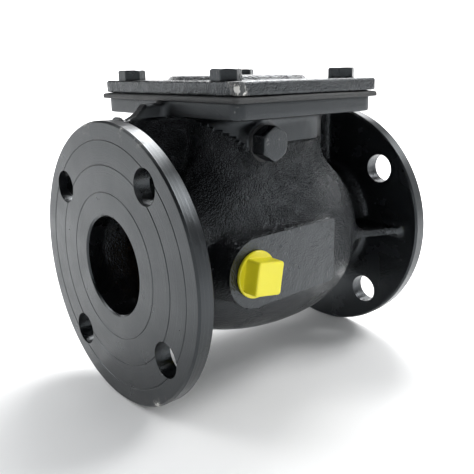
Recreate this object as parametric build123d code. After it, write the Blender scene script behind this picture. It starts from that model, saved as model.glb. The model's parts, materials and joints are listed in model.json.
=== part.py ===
"""Flanged swing check valve, nominal size 65: a cast body with two pipe flanges and a bolted top
cover, and a hinged clapper that closes on a seat ring.

Millimetres. +X is the flow, from the inlet flange to the outlet flange, and +Z points up through
the cover. The origin is the centre of the inlet flange's face. The clapper's pieces are drawn in
the seat's own axes, u along the seat's axis and w up its face, and then leaned back with it.
"""

import os
from math import cos, radians, sin, sqrt, tan

from build123d import *

# ---- Pipe flanges ----
face_to_face = 216.0
bore_r = 32.5
bore_chamfer = 1.2
flange_r = 92.5
flange_thickness = 11.0
flange_edge = 0.9
bolt_circle_r = 72.5
inlet_hole_r = 11.2
outlet_hole_r = 10.8
flange_hole_count = 4
inlet_hole_turn = 37.5          # degrees from +Y towards +Z to the first hole
outlet_hole_turn = 51.0
face_groove_radii = (48.0, 65.3, 80.8)
face_groove_width = 0.9
face_groove_depth = 0.35

# ---- Body casting ----
wall = 7.5
pipe_r = 44.5
pipe_fillet = 7.0
bowl_r = 71.0
bowl_half_length = 117.0        # of the ellipse that the bowl's outline is part of
bowl_shift = 17.0               # bowl's widest place, past mid-length
bowl_end = 84.0                 # where its sloping end meets the pipe, past mid-length
bowl_shoulder = 20.0            # radius where the bowl turns into its sloping end
bowl_foot = 9.0                 # radius where the sloping end meets the outlet pipe
inlet_flare_start = 30.0        # where the inlet passage starts to widen
inlet_flare_r = 48.0
neck_half_x = 50.0
neck_half_y = 53.5
neck_corner = 30.0
web_thickness = 8.0
web_level = 15.0                 # the web's top runs level this far before the top flange
gusset_thickness = 5.5
gusset_from = 64.0              # where the gusset leaves the bowl, past mid-length
gusset_reach = 78.5             # from the pipe axis, where the gusset meets the flange

# ---- Cover joint ----
cover_half_x = 63.0
cover_half_y = 73.0
cover_overhang = 1.0                 # the cover's edge stands past the top flange's
cover_corner = 2.5
cover_thickness = 8.2
cover_pad_r = 48.5
cover_pad_height = 2.8
cover_pad_chamfer = 1.7
cover_slip_x = 0.8              # the cover lies a little off centre, within its holes' play
cover_slip_y = -0.5
gasket_thickness = 4.3
gasket_overhang = 2.9
top_flange_z = 102.5            # joint face of the body, above the pipe axis
top_flange_thickness = 10.0
top_flange_corner = 7.0
cover_bolt_x = 53.0             # cover bolts, from the middle of the cover
cover_bolt_y = 52.5
cover_bolt_r = 5.0
cover_bolt_length = 20.0
cover_bolt_head_flats = 17.0
cover_bolt_head_height = 7.2
cover_hole_r = 6.2

# ---- Side pads, and the port in the near one ----
pad_reach = 74.5                # pad's face, from the pipe axis
pad_half_height = 22.4
pad_from = -49.5                # centre of the round end, from mid-length
pad_to = 23.0
pad_corner = 3.0
port_x = -51.3                  # from mid-length
port_r = 10.5
port_plug_flange_r = 15.0
port_plug_flange_thickness = 2.5
port_plug_flats = 21.2
port_plug_turn = 10.0           # degrees that its square head is turned, as tightened
port_plug_head = 11.0
port_plug_wall = 2.0
port_plug_shank = 14.0

# ---- Seat ----
seat_x = -31.0                  # centre of the seat's face, from mid-length
seat_tilt = 5.0                 # degrees that the seat leans back
seat_bore_r = 30.5
seat_ring_r = 38.0
seat_ring_length = 9.0
seat_land_r = 35.0
seat_land_step = 1.0
seat_proud = 2.0                # ring's face, past the partition's face
partition = 8.0

# ---- Hinge ----
pin_u = 11.0                    # pin's axis, past the seat's face
pin_w = 75.8                    # and above the seat's centre
pin_r = 6.0
bush_wall = 2.0
bush_length = 20.0
pin_play = 0.06                 # radial running clearance on the pin
side_play = 0.6                 # each side of the arm's hub
hub_r = 11.0
hub_half_length = 20.4
hinge_boss_r = 12.7
hinge_boss_reach = 56.0         # outer boss's face, from the valve's middle
pin_plug_thread_r = 10.0
pin_plug_thread_length = 12.5
pin_plug_flats = 20.0
pin_plug_head = 10.5
pin_plug_washer = 1.5
pin_end_gap = 0.5

# ---- Clapper ----
disc_r = 38.5
disc_thickness = 8.0
face_gap = 0.3                  # between the closed clapper's ring and the seat
face_ring_proud = 1.0
face_ring_depth = 3.0
face_ring_inner_r = 29.0
face_ring_outer_r = 36.0
disc_hub_r = 12.0
disc_cone_r = 26.0
disc_hub_height = 4.0
disc_chamfer = 2.0
arm_gap = 0.4                   # end play of the disc in the arm's eye
arm_thickness = 8.0
arm_eye_r = 15.0
arm_waist = 11.0                # half width of the arm below its hub
stud_r = 6.0
stud_play = 0.3
washer_r = 12.0
washer_thickness = 2.2
nut_flats = 18.0
nut_height = 10.0
nut_slot_depth = 4.0
nut_slot_width = 3.4
cotter_r = 1.3
cotter_play = 0.15
cotter_eye_r = 2.6              # of the middle of its wire
cotter_leg_length = 6.5         # both legs together, spread across the stud
stud_past_nut = 2.5

# ---- Shared clearances ----
thread_play = 0.05              # radial, between a thread and its tapped hole
head_chamfer = 30.0             # degrees, on the corners of hexagonal heads
slack = 1.0                     # how far a cutting tool runs past what it cuts

# ---- Places worked out from the sizes above ----
mid = face_to_face / 2
lean = radians(seat_tilt)
pin_x = mid + seat_x + pin_u * cos(lean) - pin_w * sin(lean)
pin_z = pin_u * sin(lean) + pin_w * cos(lean)
gasket_top = top_flange_z + gasket_thickness
cover_top = gasket_top + cover_thickness
bush_r = pin_r + bush_wall
hinge_lug_y = hub_half_length + side_play
pin_end_y = hinge_boss_reach - pin_plug_thread_length - pin_end_gap
ring_face_u = face_gap
disc_face_u = ring_face_u + face_ring_proud
disc_back_u = disc_face_u + disc_thickness
arm_face_u = disc_back_u + disc_hub_height + arm_gap
washer_face_u = arm_face_u + arm_thickness + arm_gap
nut_face_u = washer_face_u + washer_thickness
nut_top_u = nut_face_u + nut_height
cotter_u = nut_top_u - nut_slot_depth / 2
seat_place = Pos(mid + seat_x, 0, 0) * Rot(0, -seat_tilt, 0)
from_base = (Align.CENTER, Align.CENTER, Align.MIN)


# ---- Small helpers ----
def along_x(radius, start, end):
    return Pos(start, 0, 0) * Rot(0, 90, 0) * Cylinder(radius, end - start, align=from_base)


def along_y(radius, x, z, start, end):
    return Pos(x, start, z) * Rot(-90, 0, 0) * Cylinder(radius, end - start, align=from_base)


def along_z(radius, x, y, start, end):
    return Pos(x, y, start) * Cylinder(radius, end - start, align=from_base)


def tube_x(outer, inner, start, end):
    return along_x(outer, start, end) - along_x(inner, start - slack, end + slack)


def spun(profile):
    """The solid that a profile above the X axis makes when it turns about that axis."""
    return revolve(Plane.XZ * profile, Axis.X)


def strip(start, end, height):
    """A rectangle that stands on the X axis."""
    return Pos((start + end) / 2, height / 2) * Rectangle(end - start, height)


def rounded_corner(profile, x, y, radius):
    return fillet(profile.vertices().sort_by_distance((x, y, 0))[0], radius)


def slab(points, thickness):
    """A flat plate in the XZ plane, centred on y = 0."""
    outline = Plane.XZ * make_face(Polyline(*points, close=True))
    return extrude(outline, thickness / 2, both=True)


def hexagon(flats, height):
    """A hexagonal head with a chamfered top, standing on z = 0, with a corner towards +Y."""
    corner_r = flats / sqrt(3)
    prism = extrude(Rot(0, 0, 90) * RegularPolygon(corner_r, 6), height)
    drop = (corner_r - flats / 2) * tan(radians(head_chamfer))
    blank = chamfer(Cylinder(corner_r, height, align=from_base).edges().sort_by(Axis.Z)[-1],
                    drop, corner_r - flats / 2)
    return prism & blank


def box_between(low, high):
    size = [b - a for a, b in zip(low, high)]
    return Pos(*[(a + b) / 2 for a, b in zip(low, high)]) * Box(*size)


def seat_side(u, towards_outlet):
    """Half of space, on one side of a plane across the seat's axis at u."""
    reach = 2 * face_to_face
    middle = u + reach / 2 if towards_outlet else u - reach / 2
    return seat_place * Pos(middle, 0, 0) * Box(reach, reach, reach)


def bowl_end_x(inset, height):
    """Where the bowl's sloping end, at 45 degrees, is at a height above the axis."""
    return mid + bowl_end - inset * sqrt(2) - (height - pipe_r)


def bowl_outline(inset, foot):
    """Half the bowl's section: part of an ellipse, with a sloping end that reaches down to foot."""
    ellipse = Pos(mid + bowl_shift, 0) * Ellipse(bowl_half_length - inset, bowl_r - inset)
    start = mid - bowl_end
    end = bowl_end_x(inset, foot)
    window = make_face(Polyline((start, 0), (start, bowl_r), (bowl_end_x(inset, bowl_r), bowl_r),
                                (end, foot), (end, 0), close=True))
    outline = ellipse & window
    top = [v for v in outline.vertices() if v.Y > pipe_r + slack]
    return fillet(max(top, key=lambda v: v.X), bowl_shoulder - inset)


def bowl_height(x):
    """The bowl's outer radius at x."""
    share = (x - mid - bowl_shift) / bowl_half_length
    return bowl_r * sqrt(1 - share ** 2)


# ---- Body ----
def spool():
    """Both flanges, the pipe between them and the bowl, solid."""
    back = face_to_face - flange_thickness
    profile = strip(0, face_to_face, pipe_r) + bowl_outline(0, bore_r)
    profile += strip(0, flange_thickness, flange_r) + strip(back, face_to_face, flange_r)
    profile = rounded_corner(profile, flange_thickness, pipe_r, pipe_fillet)
    profile = rounded_corner(profile, back, pipe_r, pipe_fillet)
    profile = rounded_corner(profile, mid + bowl_end, pipe_r, bowl_foot)
    rim = [v for v in profile.vertices() if abs(v.Y - flange_r) < slack / 10]
    return spun(chamfer(rim, flange_edge))


def neck(inset, bottom, top):
    outline = RectangleRounded(2 * (neck_half_x - inset), 2 * (neck_half_y - inset),
                               neck_corner - inset)
    return Pos(mid, 0, bottom) * extrude(outline, top - bottom)


def top_flange():
    outline = RectangleRounded(2 * cover_half_x, 2 * cover_half_y, top_flange_corner)
    base = top_flange_z - top_flange_thickness
    return Pos(mid, 0, base) * extrude(outline, top_flange_thickness)


def side_pad():
    """A flat-faced pad on the near side, round at its inlet end."""
    length = pad_to - pad_from
    round_end = Pos(mid + pad_from, 0) * Circle(pad_half_height)
    plate = Pos(mid + pad_from + length / 2, 0) * Rectangle(length, 2 * pad_half_height)
    plate = fillet(plate.vertices().sort_by(Axis.X)[-2:], pad_corner)
    return extrude(Plane.XZ * (round_end + plate), pad_reach)


def top_web():
    """The upright web between a pipe flange's edge, the neck and the top flange."""
    edge = flange_r - flange_edge
    top = top_flange_z - flange_edge
    return slab([(flange_thickness / 2, 0), (flange_thickness / 2, edge), (flange_thickness, edge),
                 (mid - cover_half_x - web_level, top), (mid, top), (mid, 0)], web_thickness)


def gusset():
    """The level gusset between the bowl and the outlet flange, on the near side."""
    start = mid + gusset_from
    back = face_to_face - flange_thickness / 2
    outline = make_face(Polyline((mid, 0), (start, -bowl_height(start)),
                                 (face_to_face - flange_thickness, -gusset_reach),
                                 (back, -gusset_reach), (back, 0), close=True))
    return extrude(outline, gusset_thickness / 2, both=True)


def outside():
    """The casting's outer form, solid."""
    pad = side_pad()
    web = top_web()
    rib = gusset()
    across = Plane.YZ.offset(mid)
    form = spool() + neck(0, 0, top_flange_z) + top_flange()
    form += pad + mirror(pad, Plane.XZ) + web + mirror(web, across)
    form += rib + mirror(rib, Plane.XZ)
    return form + along_y(hinge_boss_r, pin_x, pin_z, -hinge_boss_reach, 0)


def waterway():
    """The space that the water fills, on both sides of the seat's partition."""
    flare = make_face(Polyline((inlet_flare_start, 0), (inlet_flare_start, bore_r),
                               (mid + seat_x - partition, inlet_flare_r),
                               (mid, inlet_flare_r), (mid, 0), close=True))
    inlet = spun(strip(-slack, mid, bore_r) + flare)
    upstream = inlet & seat_side(-seat_proud - partition, False)
    bowl = bowl_outline(wall, bore_r) + strip(mid, face_to_face + slack, bore_r)
    bowl = rounded_corner(bowl, bowl_end_x(wall, bore_r), bore_r, bowl_foot + wall)
    chamber = spun(bowl) + neck(wall, 0, top_flange_z + slack)
    downstream = chamber & seat_side(-seat_proud, True)
    ring_bore = seat_place * along_x(seat_ring_r, -seat_proud - partition - slack, slack)
    return upstream + downstream + ring_bore


def hinge_lugs():
    """The inner bosses that carry the hinge pin's bushes."""
    reach = neck_half_y - wall / 2
    lugs = along_y(hinge_boss_r, pin_x, pin_z, -reach, -hinge_lug_y)
    return lugs + along_y(hinge_boss_r, pin_x, pin_z, hinge_lug_y, reach)


def hinge_bores():
    """The near side is tapped for the plug, and the far side's bore is blind."""
    end = hinge_lug_y + bush_length
    bore = along_y(bush_r, pin_x, pin_z, -hinge_boss_reach - slack, end)
    tapped = along_y(pin_plug_thread_r + thread_play, pin_x, pin_z, -hinge_boss_reach - slack,
                     -hinge_boss_reach + pin_plug_thread_length + pin_end_gap)
    return bore + tapped


def flange_face(holes_from, hole_r):
    """What is cut from the inlet flange: its bolt holes, face grooves and bore edge."""
    cut = None
    for n in range(flange_hole_count):
        turn = radians(holes_from + n * 360 / flange_hole_count)
        hole = Pos(0, bolt_circle_r * cos(turn), bolt_circle_r * sin(turn)) * along_x(
            hole_r, -slack, flange_thickness + slack)
        cut = hole if cut is None else cut + hole
    for radius in face_groove_radii:
        cut += tube_x(radius + face_groove_width / 2, radius - face_groove_width / 2,
                      -slack, face_groove_depth)
    edge = make_face(Polyline((-slack, 0), (-slack, bore_r + bore_chamfer + slack),
                              (bore_chamfer, bore_r), (bore_chamfer, 0), close=True))
    return cut + spun(edge)


def cover_places():
    """The four cover bolts, about the middle of the cover."""
    return [(mid + a * cover_bolt_x, b * cover_bolt_y) for a in (-1, 1) for b in (-1, 1)]


def body():
    form = outside() - waterway() + hinge_lugs()
    form -= hinge_bores()
    form -= flange_face(inlet_hole_turn, inlet_hole_r)
    outlet = mirror(flange_face(outlet_hole_turn, outlet_hole_r), Plane.YZ)
    form -= Pos(face_to_face, 0, 0) * outlet
    form -= along_y(port_r + thread_play, mid + port_x, 0, -pad_reach - slack, -bore_r)
    for x, y in cover_places():
        form -= along_z(cover_bolt_r + thread_play, x, y,
                        top_flange_z - top_flange_thickness - slack, top_flange_z + slack)
    return form


# ---- Cover joint ----
def cover():
    outline = RectangleRounded(2 * (cover_half_x + cover_overhang),
                               2 * (cover_half_y + cover_overhang), cover_corner)
    plate = Pos(mid + cover_slip_x, cover_slip_y, gasket_top) * extrude(outline, cover_thickness)
    pad = Cylinder(cover_pad_r, cover_pad_height, align=from_base)
    pad = chamfer(pad.edges().sort_by(Axis.Z)[-1], cover_pad_chamfer)
    plate += Pos(mid + cover_slip_x, cover_slip_y, cover_top) * pad
    for x, y in cover_places():
        plate -= along_z(cover_hole_r, x, y, gasket_top - slack, cover_top + slack)
    return plate


def cover_gasket():
    outline = RectangleRounded(2 * (cover_half_x + gasket_overhang),
                               2 * (cover_half_y + gasket_overhang), cover_corner)
    window = RectangleRounded(2 * (neck_half_x - wall), 2 * (neck_half_y - wall),
                              neck_corner - wall)
    sheet = Pos(mid, 0, top_flange_z) * extrude(outline - window, gasket_thickness)
    for x, y in cover_places():
        sheet -= along_z(cover_hole_r, x, y, top_flange_z - slack, gasket_top + slack)
    return sheet


def cover_bolt(x, y):
    shank = along_z(cover_bolt_r, x, y, cover_top - cover_bolt_length, cover_top + slack)
    tip = shank.edges().sort_by(Axis.Z)[0]
    head = Pos(x, y, cover_top) * hexagon(cover_bolt_head_flats, cover_bolt_head_height)
    return chamfer(tip, cover_bolt_r / 5) + head


# ---- Port plug ----
def port_plug():
    """A moulded plug: a hollow shank, a round flange and a square head to turn it by."""
    face = -pad_reach
    flange_face_y = face - port_plug_flange_thickness
    x = mid + port_x
    plug = along_y(port_r, x, 0, face, face + port_plug_shank)
    plug += along_y(port_plug_flange_r, x, 0, flange_face_y, face)
    half = port_plug_flats / 2
    head = box_between((-half, flange_face_y - port_plug_head, -half),
                       (half, flange_face_y + slack, half))
    head = fillet(head.edges().filter_by(Axis.Y), port_plug_wall)
    plug += Pos(x, 0, 0) * Rot(0, port_plug_turn, 0) * head
    hollow = port_r - port_plug_wall
    return plug - along_y(hollow, x, 0, face, face + port_plug_shank + slack)


# ---- Hinge ----
def hinge_pin():
    pin = along_y(pin_r, pin_x, pin_z, -pin_end_y, hinge_lug_y + bush_length - pin_end_gap)
    return chamfer(pin.edges().filter_by(GeomType.CIRCLE), pin_r / 6)


def hinge_bush(side):
    outer = hinge_lug_y + bush_length
    ends = sorted((side * hinge_lug_y, side * outer))
    sleeve = along_y(bush_r, pin_x, pin_z, *ends)
    return sleeve - along_y(pin_r + pin_play, pin_x, pin_z, ends[0] - slack, ends[1] + slack)


def pin_plug():
    seat = -hinge_boss_reach - pin_plug_washer
    thread = along_y(pin_plug_thread_r, pin_x, pin_z, seat - slack,
                     -hinge_boss_reach + pin_plug_thread_length)
    head = hexagon(pin_plug_flats, pin_plug_head)
    return thread + Pos(pin_x, seat, pin_z) * Rot(90, 0, 0) * head


def pin_plug_ring():
    face = -hinge_boss_reach
    ring = along_y(hinge_boss_r - pin_plug_washer / 2, pin_x, pin_z, face - pin_plug_washer, face)
    return ring - along_y(pin_plug_thread_r + thread_play, pin_x, pin_z,
                          face - pin_plug_washer - slack, face + slack)


def hinge_arm():
    """The hub on the pin, a tapered arm down the disc's back, and the eye round its stud."""
    start, end = arm_face_u, arm_face_u + arm_thickness
    eye = along_x(arm_eye_r, start, end)
    bar = Plane.YZ.offset(start) * make_face(Polyline(
        (-arm_eye_r, 0), (-arm_waist, pin_w), (arm_waist, pin_w), (arm_eye_r, 0), close=True))
    hub = along_y(hub_r, pin_u, pin_w, -hub_half_length, hub_half_length)
    arm = eye + extrude(bar, arm_thickness) + hub
    arm -= along_x(stud_r + stud_play, start - slack, end + slack)
    arm -= along_y(pin_r + pin_play, pin_u, pin_w, -hub_half_length - slack,
                   hub_half_length + slack)
    return seat_place * arm


# ---- Clapper disc ----
def disc():
    """The plate, the recess for its face ring, a coned back and the stud."""
    cone = make_face(Polyline((disc_back_u, 0), (disc_back_u, disc_cone_r),
                              (disc_back_u + disc_hub_height, disc_hub_r),
                              (disc_back_u + disc_hub_height, 0), close=True))
    plate = chamfer(along_x(disc_r, disc_face_u, disc_back_u).edges().sort_by(Axis.X)[-1],
                    disc_chamfer)
    shape = plate + spun(cone)
    shape += along_x(stud_r, disc_back_u, nut_top_u + stud_past_nut)
    shape -= tube_x(face_ring_outer_r, face_ring_inner_r, disc_face_u - slack,
                    disc_face_u + face_ring_depth)
    shape -= along_y(cotter_r + cotter_play, cotter_u, 0, -disc_r, disc_r)
    return seat_place * shape


def face_ring():
    end = disc_face_u + face_ring_depth
    return seat_place * tube_x(face_ring_outer_r, face_ring_inner_r, ring_face_u, end)


def seat_ring():
    ring = tube_x(seat_ring_r, seat_bore_r, -seat_ring_length, 0)
    ring -= tube_x(seat_ring_r + slack, seat_land_r, -seat_land_step, slack)
    return seat_place * ring


def disc_washer():
    return seat_place * tube_x(washer_r, stud_r + thread_play, washer_face_u, nut_face_u)


def disc_nut():
    """A slotted hexagon nut."""
    nut = Pos(nut_face_u, 0, 0) * Rot(0, 90, 0) * hexagon(nut_flats, nut_height)
    nut -= along_x(stud_r + thread_play, nut_face_u - slack, nut_top_u + slack)
    for turn in (0, 60, 120):
        slot = box_between((nut_top_u - nut_slot_depth, -nut_flats, -nut_slot_width / 2),
                           (nut_top_u + slack, nut_flats, nut_slot_width / 2))
        nut -= Rot(turn, 0, 0) * slot
    return seat_place * nut


def cotter_pin():
    """A split pin through the stud: an eye at one end, and two legs spread at the other."""
    reach = nut_flats / sqrt(3) + cotter_r
    shank = along_y(cotter_r, cotter_u, 0, -reach, reach)
    eye = Pos(cotter_u, -reach - cotter_eye_r, 0) * Rot(0, 90, 0) * Torus(cotter_eye_r, cotter_r)
    legs = Pos(cotter_u, reach, 0) * Box(cotter_r, 2 * cotter_r, cotter_leg_length)
    return seat_place * (shank + eye + legs)


def pieces():
    """Every node of the valve, by name."""
    made = {
        "body": body(),
        "cover": cover(),
        "cover_gasket": cover_gasket(),
        "port_plug": port_plug(),
        "seat_ring": seat_ring(),
        "hinge_pin": hinge_pin(),
        "hinge_bush_near": hinge_bush(-1),
        "hinge_bush_far": hinge_bush(1),
        "pin_plug": pin_plug(),
        "pin_plug_washer": pin_plug_ring(),
        "hinge_arm": hinge_arm(),
        "disc": disc(),
        "disc_face_ring": face_ring(),
        "disc_washer": disc_washer(),
        "disc_nut": disc_nut(),
        "cotter_pin": cotter_pin(),
    }
    for n, (x, y) in enumerate(cover_places(), 1):
        made[f"cover_bolt_{n}"] = cover_bolt(x, y)
    return made


def main():
    os.makedirs("parts", exist_ok=True)
    for name, shape in pieces().items():
        export_step(shape, f"parts/{name}.step")


main()
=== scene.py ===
import json
import math

import bmesh
import bpy
import numpy as np
from bpy.props import FloatProperty, FloatVectorProperty, PointerProperty
from mathutils import Matrix, Vector, noise


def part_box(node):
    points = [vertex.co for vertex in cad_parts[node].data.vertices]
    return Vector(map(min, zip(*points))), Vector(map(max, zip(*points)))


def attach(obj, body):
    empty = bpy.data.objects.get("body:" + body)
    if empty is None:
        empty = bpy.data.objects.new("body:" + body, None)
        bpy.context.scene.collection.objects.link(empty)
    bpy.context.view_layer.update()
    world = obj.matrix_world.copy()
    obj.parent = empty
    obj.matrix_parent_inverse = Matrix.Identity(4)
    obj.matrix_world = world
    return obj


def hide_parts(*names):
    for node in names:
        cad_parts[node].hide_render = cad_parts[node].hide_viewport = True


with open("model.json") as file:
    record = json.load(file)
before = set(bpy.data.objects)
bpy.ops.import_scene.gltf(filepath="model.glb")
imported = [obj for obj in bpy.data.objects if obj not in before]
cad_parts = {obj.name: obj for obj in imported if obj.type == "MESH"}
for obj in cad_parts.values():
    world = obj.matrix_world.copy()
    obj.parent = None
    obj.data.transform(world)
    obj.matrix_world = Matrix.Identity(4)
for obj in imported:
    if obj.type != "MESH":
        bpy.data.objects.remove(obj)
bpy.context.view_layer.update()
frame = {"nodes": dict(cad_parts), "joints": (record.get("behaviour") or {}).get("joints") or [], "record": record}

bl_info = {
    "name": "Swing Check Valve",
    "version": (1, 0, 0),
    "blender": (4, 5, 0),
    "location": "View3D > Sidebar > Valve",
    "description": "Builds the visible pieces of a flanged swing check valve around its design frame",
    "category": "Object",
}

MM = 0.001
mounts = {mount["name"]: mount for mount in frame["record"]["mounts"]}
joints = {joint["name"]: joint for joint in frame["joints"]}

# Places and sizes that the design frame already holds.
body_low, body_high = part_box("body")
cover_low, cover_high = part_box("cover")
pin_low, pin_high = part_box("hinge_pin")
seat_centre = Vector(joints["disc_spin"]["pos_m"])
seat_axis = Vector(joints["disc_spin"]["axis"])
pin_centre = Vector(joints["clapper_swing"]["pos_m"])
length = mounts["outlet_flange"]["pos_m"][0] - mounts["inlet_flange"]["pos_m"][0]
mid = length / 2
flange_radius = -body_low.z
joint_height = body_high.z
MACHINING = 1.5 * MM         # metal left on the casting where it is machined
INTO_FLANGE = 5 * MM         # how far from a flange's face the forms that run into it end
CLEAR = 2 * MM               # how far a cutter runs past the metal

# Fillets on the casting's outside, in the order in which its forms are joined.
BOWL_FILLET = 8 * MM
NECK_FILLET = 15 * MM
BOSS_FILLET = 5 * MM
TOP_FILLET = 6 * MM
PAD_FILLET = 4.5 * MM
FLANGE_FILLET = 8 * MM
WEB_FILLET = 6 * MM
GUSSET_FILLET = 5 * MM

# Fillets inside it. The first also rounds the bowl into its sloping end.
OUTLET_FILLET = 14 * MM
INNER_NECK_FILLET = 10 * MM
CORE_FILLET = 3 * MM


# ---- Sizes and colours that a user would change ----
def size(name, text, default, **more):
    return FloatProperty(name=name, description=text, default=default, unit="LENGTH", **more)


def colour(name, text, default):
    return FloatVectorProperty(name=name, description=text, default=default, subtype="COLOR",
                               size=3, min=0, max=1)


class BodySizes(bpy.types.PropertyGroup):
    wall: size("Wall", "Thickness of the casting's walls", 7.5 * MM)
    bore: size("Bore", "Radius of the passage at the flanges", 32.5 * MM)
    flange_thickness: size("Flange thickness", "Thickness of the pipe flanges", 11 * MM)
    flange_edge: size("Flange edge", "Chamfer on the flanges' edges", 1.3 * MM)
    bore_chamfer: size("Bore chamfer", "Chamfer at the bore's mouth", 1.2 * MM)
    pipe_radius: size("Pipe radius", "Outer radius of the necks behind the flanges", 44.5 * MM)
    bowl_radius: size("Bowl radius", "Outer radius of the bowl at its widest", 71 * MM)
    bowl_half_length: size("Bowl half length", "Of the ellipse its outline follows", 117 * MM)
    bowl_shift: size("Bowl shift", "From mid length to the widest place", 17 * MM)
    bowl_end: size("Bowl end", "From mid length to the foot of the sloping end", 84 * MM)
    neck_x: size("Neck half length", "Half of the neck along the pipe", 50 * MM)
    neck_y: size("Neck half width", "Half of the neck across the pipe", 53.5 * MM)
    neck_corner: size("Neck corner", "Corner radius of the neck", 30 * MM)
    top_x: size("Top flange half length", "Half of the top flange along the pipe", 63 * MM)
    top_y: size("Top flange half width", "Half of the top flange across the pipe", 73 * MM)
    top_thickness: size("Top flange thickness", "Thickness of the top flange", 10 * MM)
    top_corner: size("Top flange corner", "Corner radius of the top flange", 7 * MM)
    web: size("Web thickness", "Thickness of the upright webs", 8 * MM)
    web_level: size("Web level", "How far the web's top runs on before the top flange", 15 * MM)
    web_sag: size("Web sag", "How far the web's sloping top is hollowed", 2.5 * MM)
    gusset: size("Gusset thickness", "Thickness of the level gussets", 5.5 * MM)
    gusset_from: size("Gusset start", "From mid length, where it leaves the bowl", 64 * MM)
    gusset_reach: size("Gusset reach", "From the pipe axis, where it meets the flange", 78.5 * MM)
    pad_reach: size("Pad reach", "From the pipe axis to the side pads' faces", 74.5 * MM)
    pad_height: size("Pad half height", "Half height of the side pads", 22.4 * MM)
    pad_from: size("Pad start", "Centre of the round end, from mid length", -49.5 * MM)
    pad_to: size("Pad end", "Square end, from mid length", 23 * MM)
    port_x: size("Port place", "The side port's centre, from mid length", -51.3 * MM)
    port_radius: size("Port radius", "Radius of the side port", 10.55 * MM)
    boss: size("Hinge boss radius", "Radius of the bosses for the hinge pin", 12.7 * MM)
    boss_reach: size("Hinge boss reach", "From the middle to the outer boss's face", 56 * MM)
    lug_gap: size("Lug gap", "From the middle to the inner bosses", 21 * MM)
    partition: size("Partition", "Thickness of the wall round the seat", 8 * MM)
    seat_recess: size("Seat recess radius", "Radius of the seat ring's pocket", 38 * MM)
    flare_start: size("Flare start", "Where the inlet passage starts to widen", 30 * MM)
    flare: size("Flare radius", "Radius of the passage before the seat", 48 * MM)
    grooves: FloatVectorProperty(name="Face rings", description="Radii of the turned rings",
                                 default=(48 * MM, 65.3 * MM, 80.8 * MM), size=3, unit="LENGTH")
    groove_width: size("Ring width", "Width of the turned rings", 0.9 * MM)
    groove_depth: size("Ring depth", "Depth of the turned rings", 0.35 * MM)
    inlet_turn: FloatProperty(name="Inlet holes", description="Turn of the inlet flange's holes",
                              default=math.radians(37.5), subtype="ANGLE")
    outlet_turn: FloatProperty(name="Outlet holes", description="Turn of the outlet flange's holes",
                               default=math.radians(51), subtype="ANGLE")
    step: size("Mesh step", "Spacing of the casting's mesh", 1.95 * MM, min=1.2 * MM)


class FittingSizes(bpy.types.PropertyGroup):
    cover_corner: size("Cover corner", "Corner radius of the cover", 2.5 * MM)
    cover_pad: size("Cover pad radius", "Radius of the low round pad", 48.5 * MM)
    cover_pad_height: size("Cover pad height", "Height of the low round pad", 2.8 * MM)
    gasket_gap: size("Gasket gap", "Open gap left above the gasket at its edge", 0.7 * MM)
    bolt_flats: size("Bolt flats", "Across the flats of the cover bolts' heads", 17 * MM)
    bolt_radius: size("Bolt radius", "Thread radius of the cover bolts", 5 * MM)
    bolt_length: size("Bolt length", "Under the head", 20 * MM)
    bolt_pitch: size("Bolt pitch", "Pitch of the bolts' thread", 1.5 * MM)
    plug_flats: size("Hinge plug flats", "Across the flats of the hinge plug", 20 * MM)
    plug_head: size("Hinge plug head", "Height of the hinge plug's head", 10.5 * MM)
    port_flange: size("Port plug flange", "Radius of the port plug's flange", 15 * MM)
    port_flange_thickness: size("Port plug rim", "Thickness of its flange", 2.5 * MM)
    port_flats: size("Port plug flats", "Across the flats of its square head", 21.2 * MM)
    port_turn: FloatProperty(name="Port plug turn", description="Turn of its square head",
                             default=math.radians(10), subtype="ANGLE")


class Finishes(bpy.types.PropertyGroup):
    enamel: colour("Enamel", "Black enamel on the castings and bolts", (0.0022, 0.0024, 0.0028))
    gasket: colour("Gasket", "Joint sheet", (0.02, 0.021, 0.022))
    plastic: colour("Plastic", "Yellow port plug", (0.74, 0.65, 0.003))
    bronze: colour("Bronze", "Seat ring and bushes", (0.62, 0.36, 0.14))
    steel: colour("Steel", "Pin, nut and washer", (0.52, 0.52, 0.53))
    iron: colour("Iron", "Clapper castings", (0.09, 0.09, 0.094))
    bare: colour("Bare metal", "Where the enamel is chipped", (0.55, 0.54, 0.51))
    grain: size("Casting grain", "Depth of the lumps under the enamel", 0.2 * MM)


class StageSettings(bpy.types.PropertyGroup):
    eye: FloatVectorProperty(name="Camera place", description="Where the camera stands",
                             default=(-0.174, -0.3257, 0.1204), subtype="TRANSLATION", size=3)
    yaw: FloatProperty(name="Yaw", description="Turn of the view, from +Y towards +X",
                       default=math.radians(41.42), subtype="ANGLE")
    pitch: FloatProperty(name="Pitch", description="How far the view looks down",
                         default=math.radians(13.64), subtype="ANGLE")
    roll: FloatProperty(name="Roll", description="Tilt of the camera",
                        default=math.radians(0.8), subtype="ANGLE")
    lens: FloatProperty(name="Lens", description="Focal length in millimetres", default=44.7)
    shift: FloatVectorProperty(name="Lens shift", description="How far the picture is shifted",
                               default=(-0.0130, -0.0483), size=2)
    sweep: size("Sweep radius", "Radius of the pale floor", 2.4)


# ---- Distance fields: how the castings' forms are described ----
# A field is negative inside a form and grows with the distance outside it.
def union(a, b, soft):
    """Both forms, with a fillet about as large as soft in the corner between them."""
    share = np.clip(0.5 + 0.5 * (b - a) / soft, 0, 1)
    return b + (a - b) * share - soft * share * (1 - share)


def overlap(a, b, soft):
    """What is inside both forms."""
    return -union(-a, -b, soft)


def less(a, b, soft):
    """The first form with the second cut out of it."""
    return -union(-a, b, soft)


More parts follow.
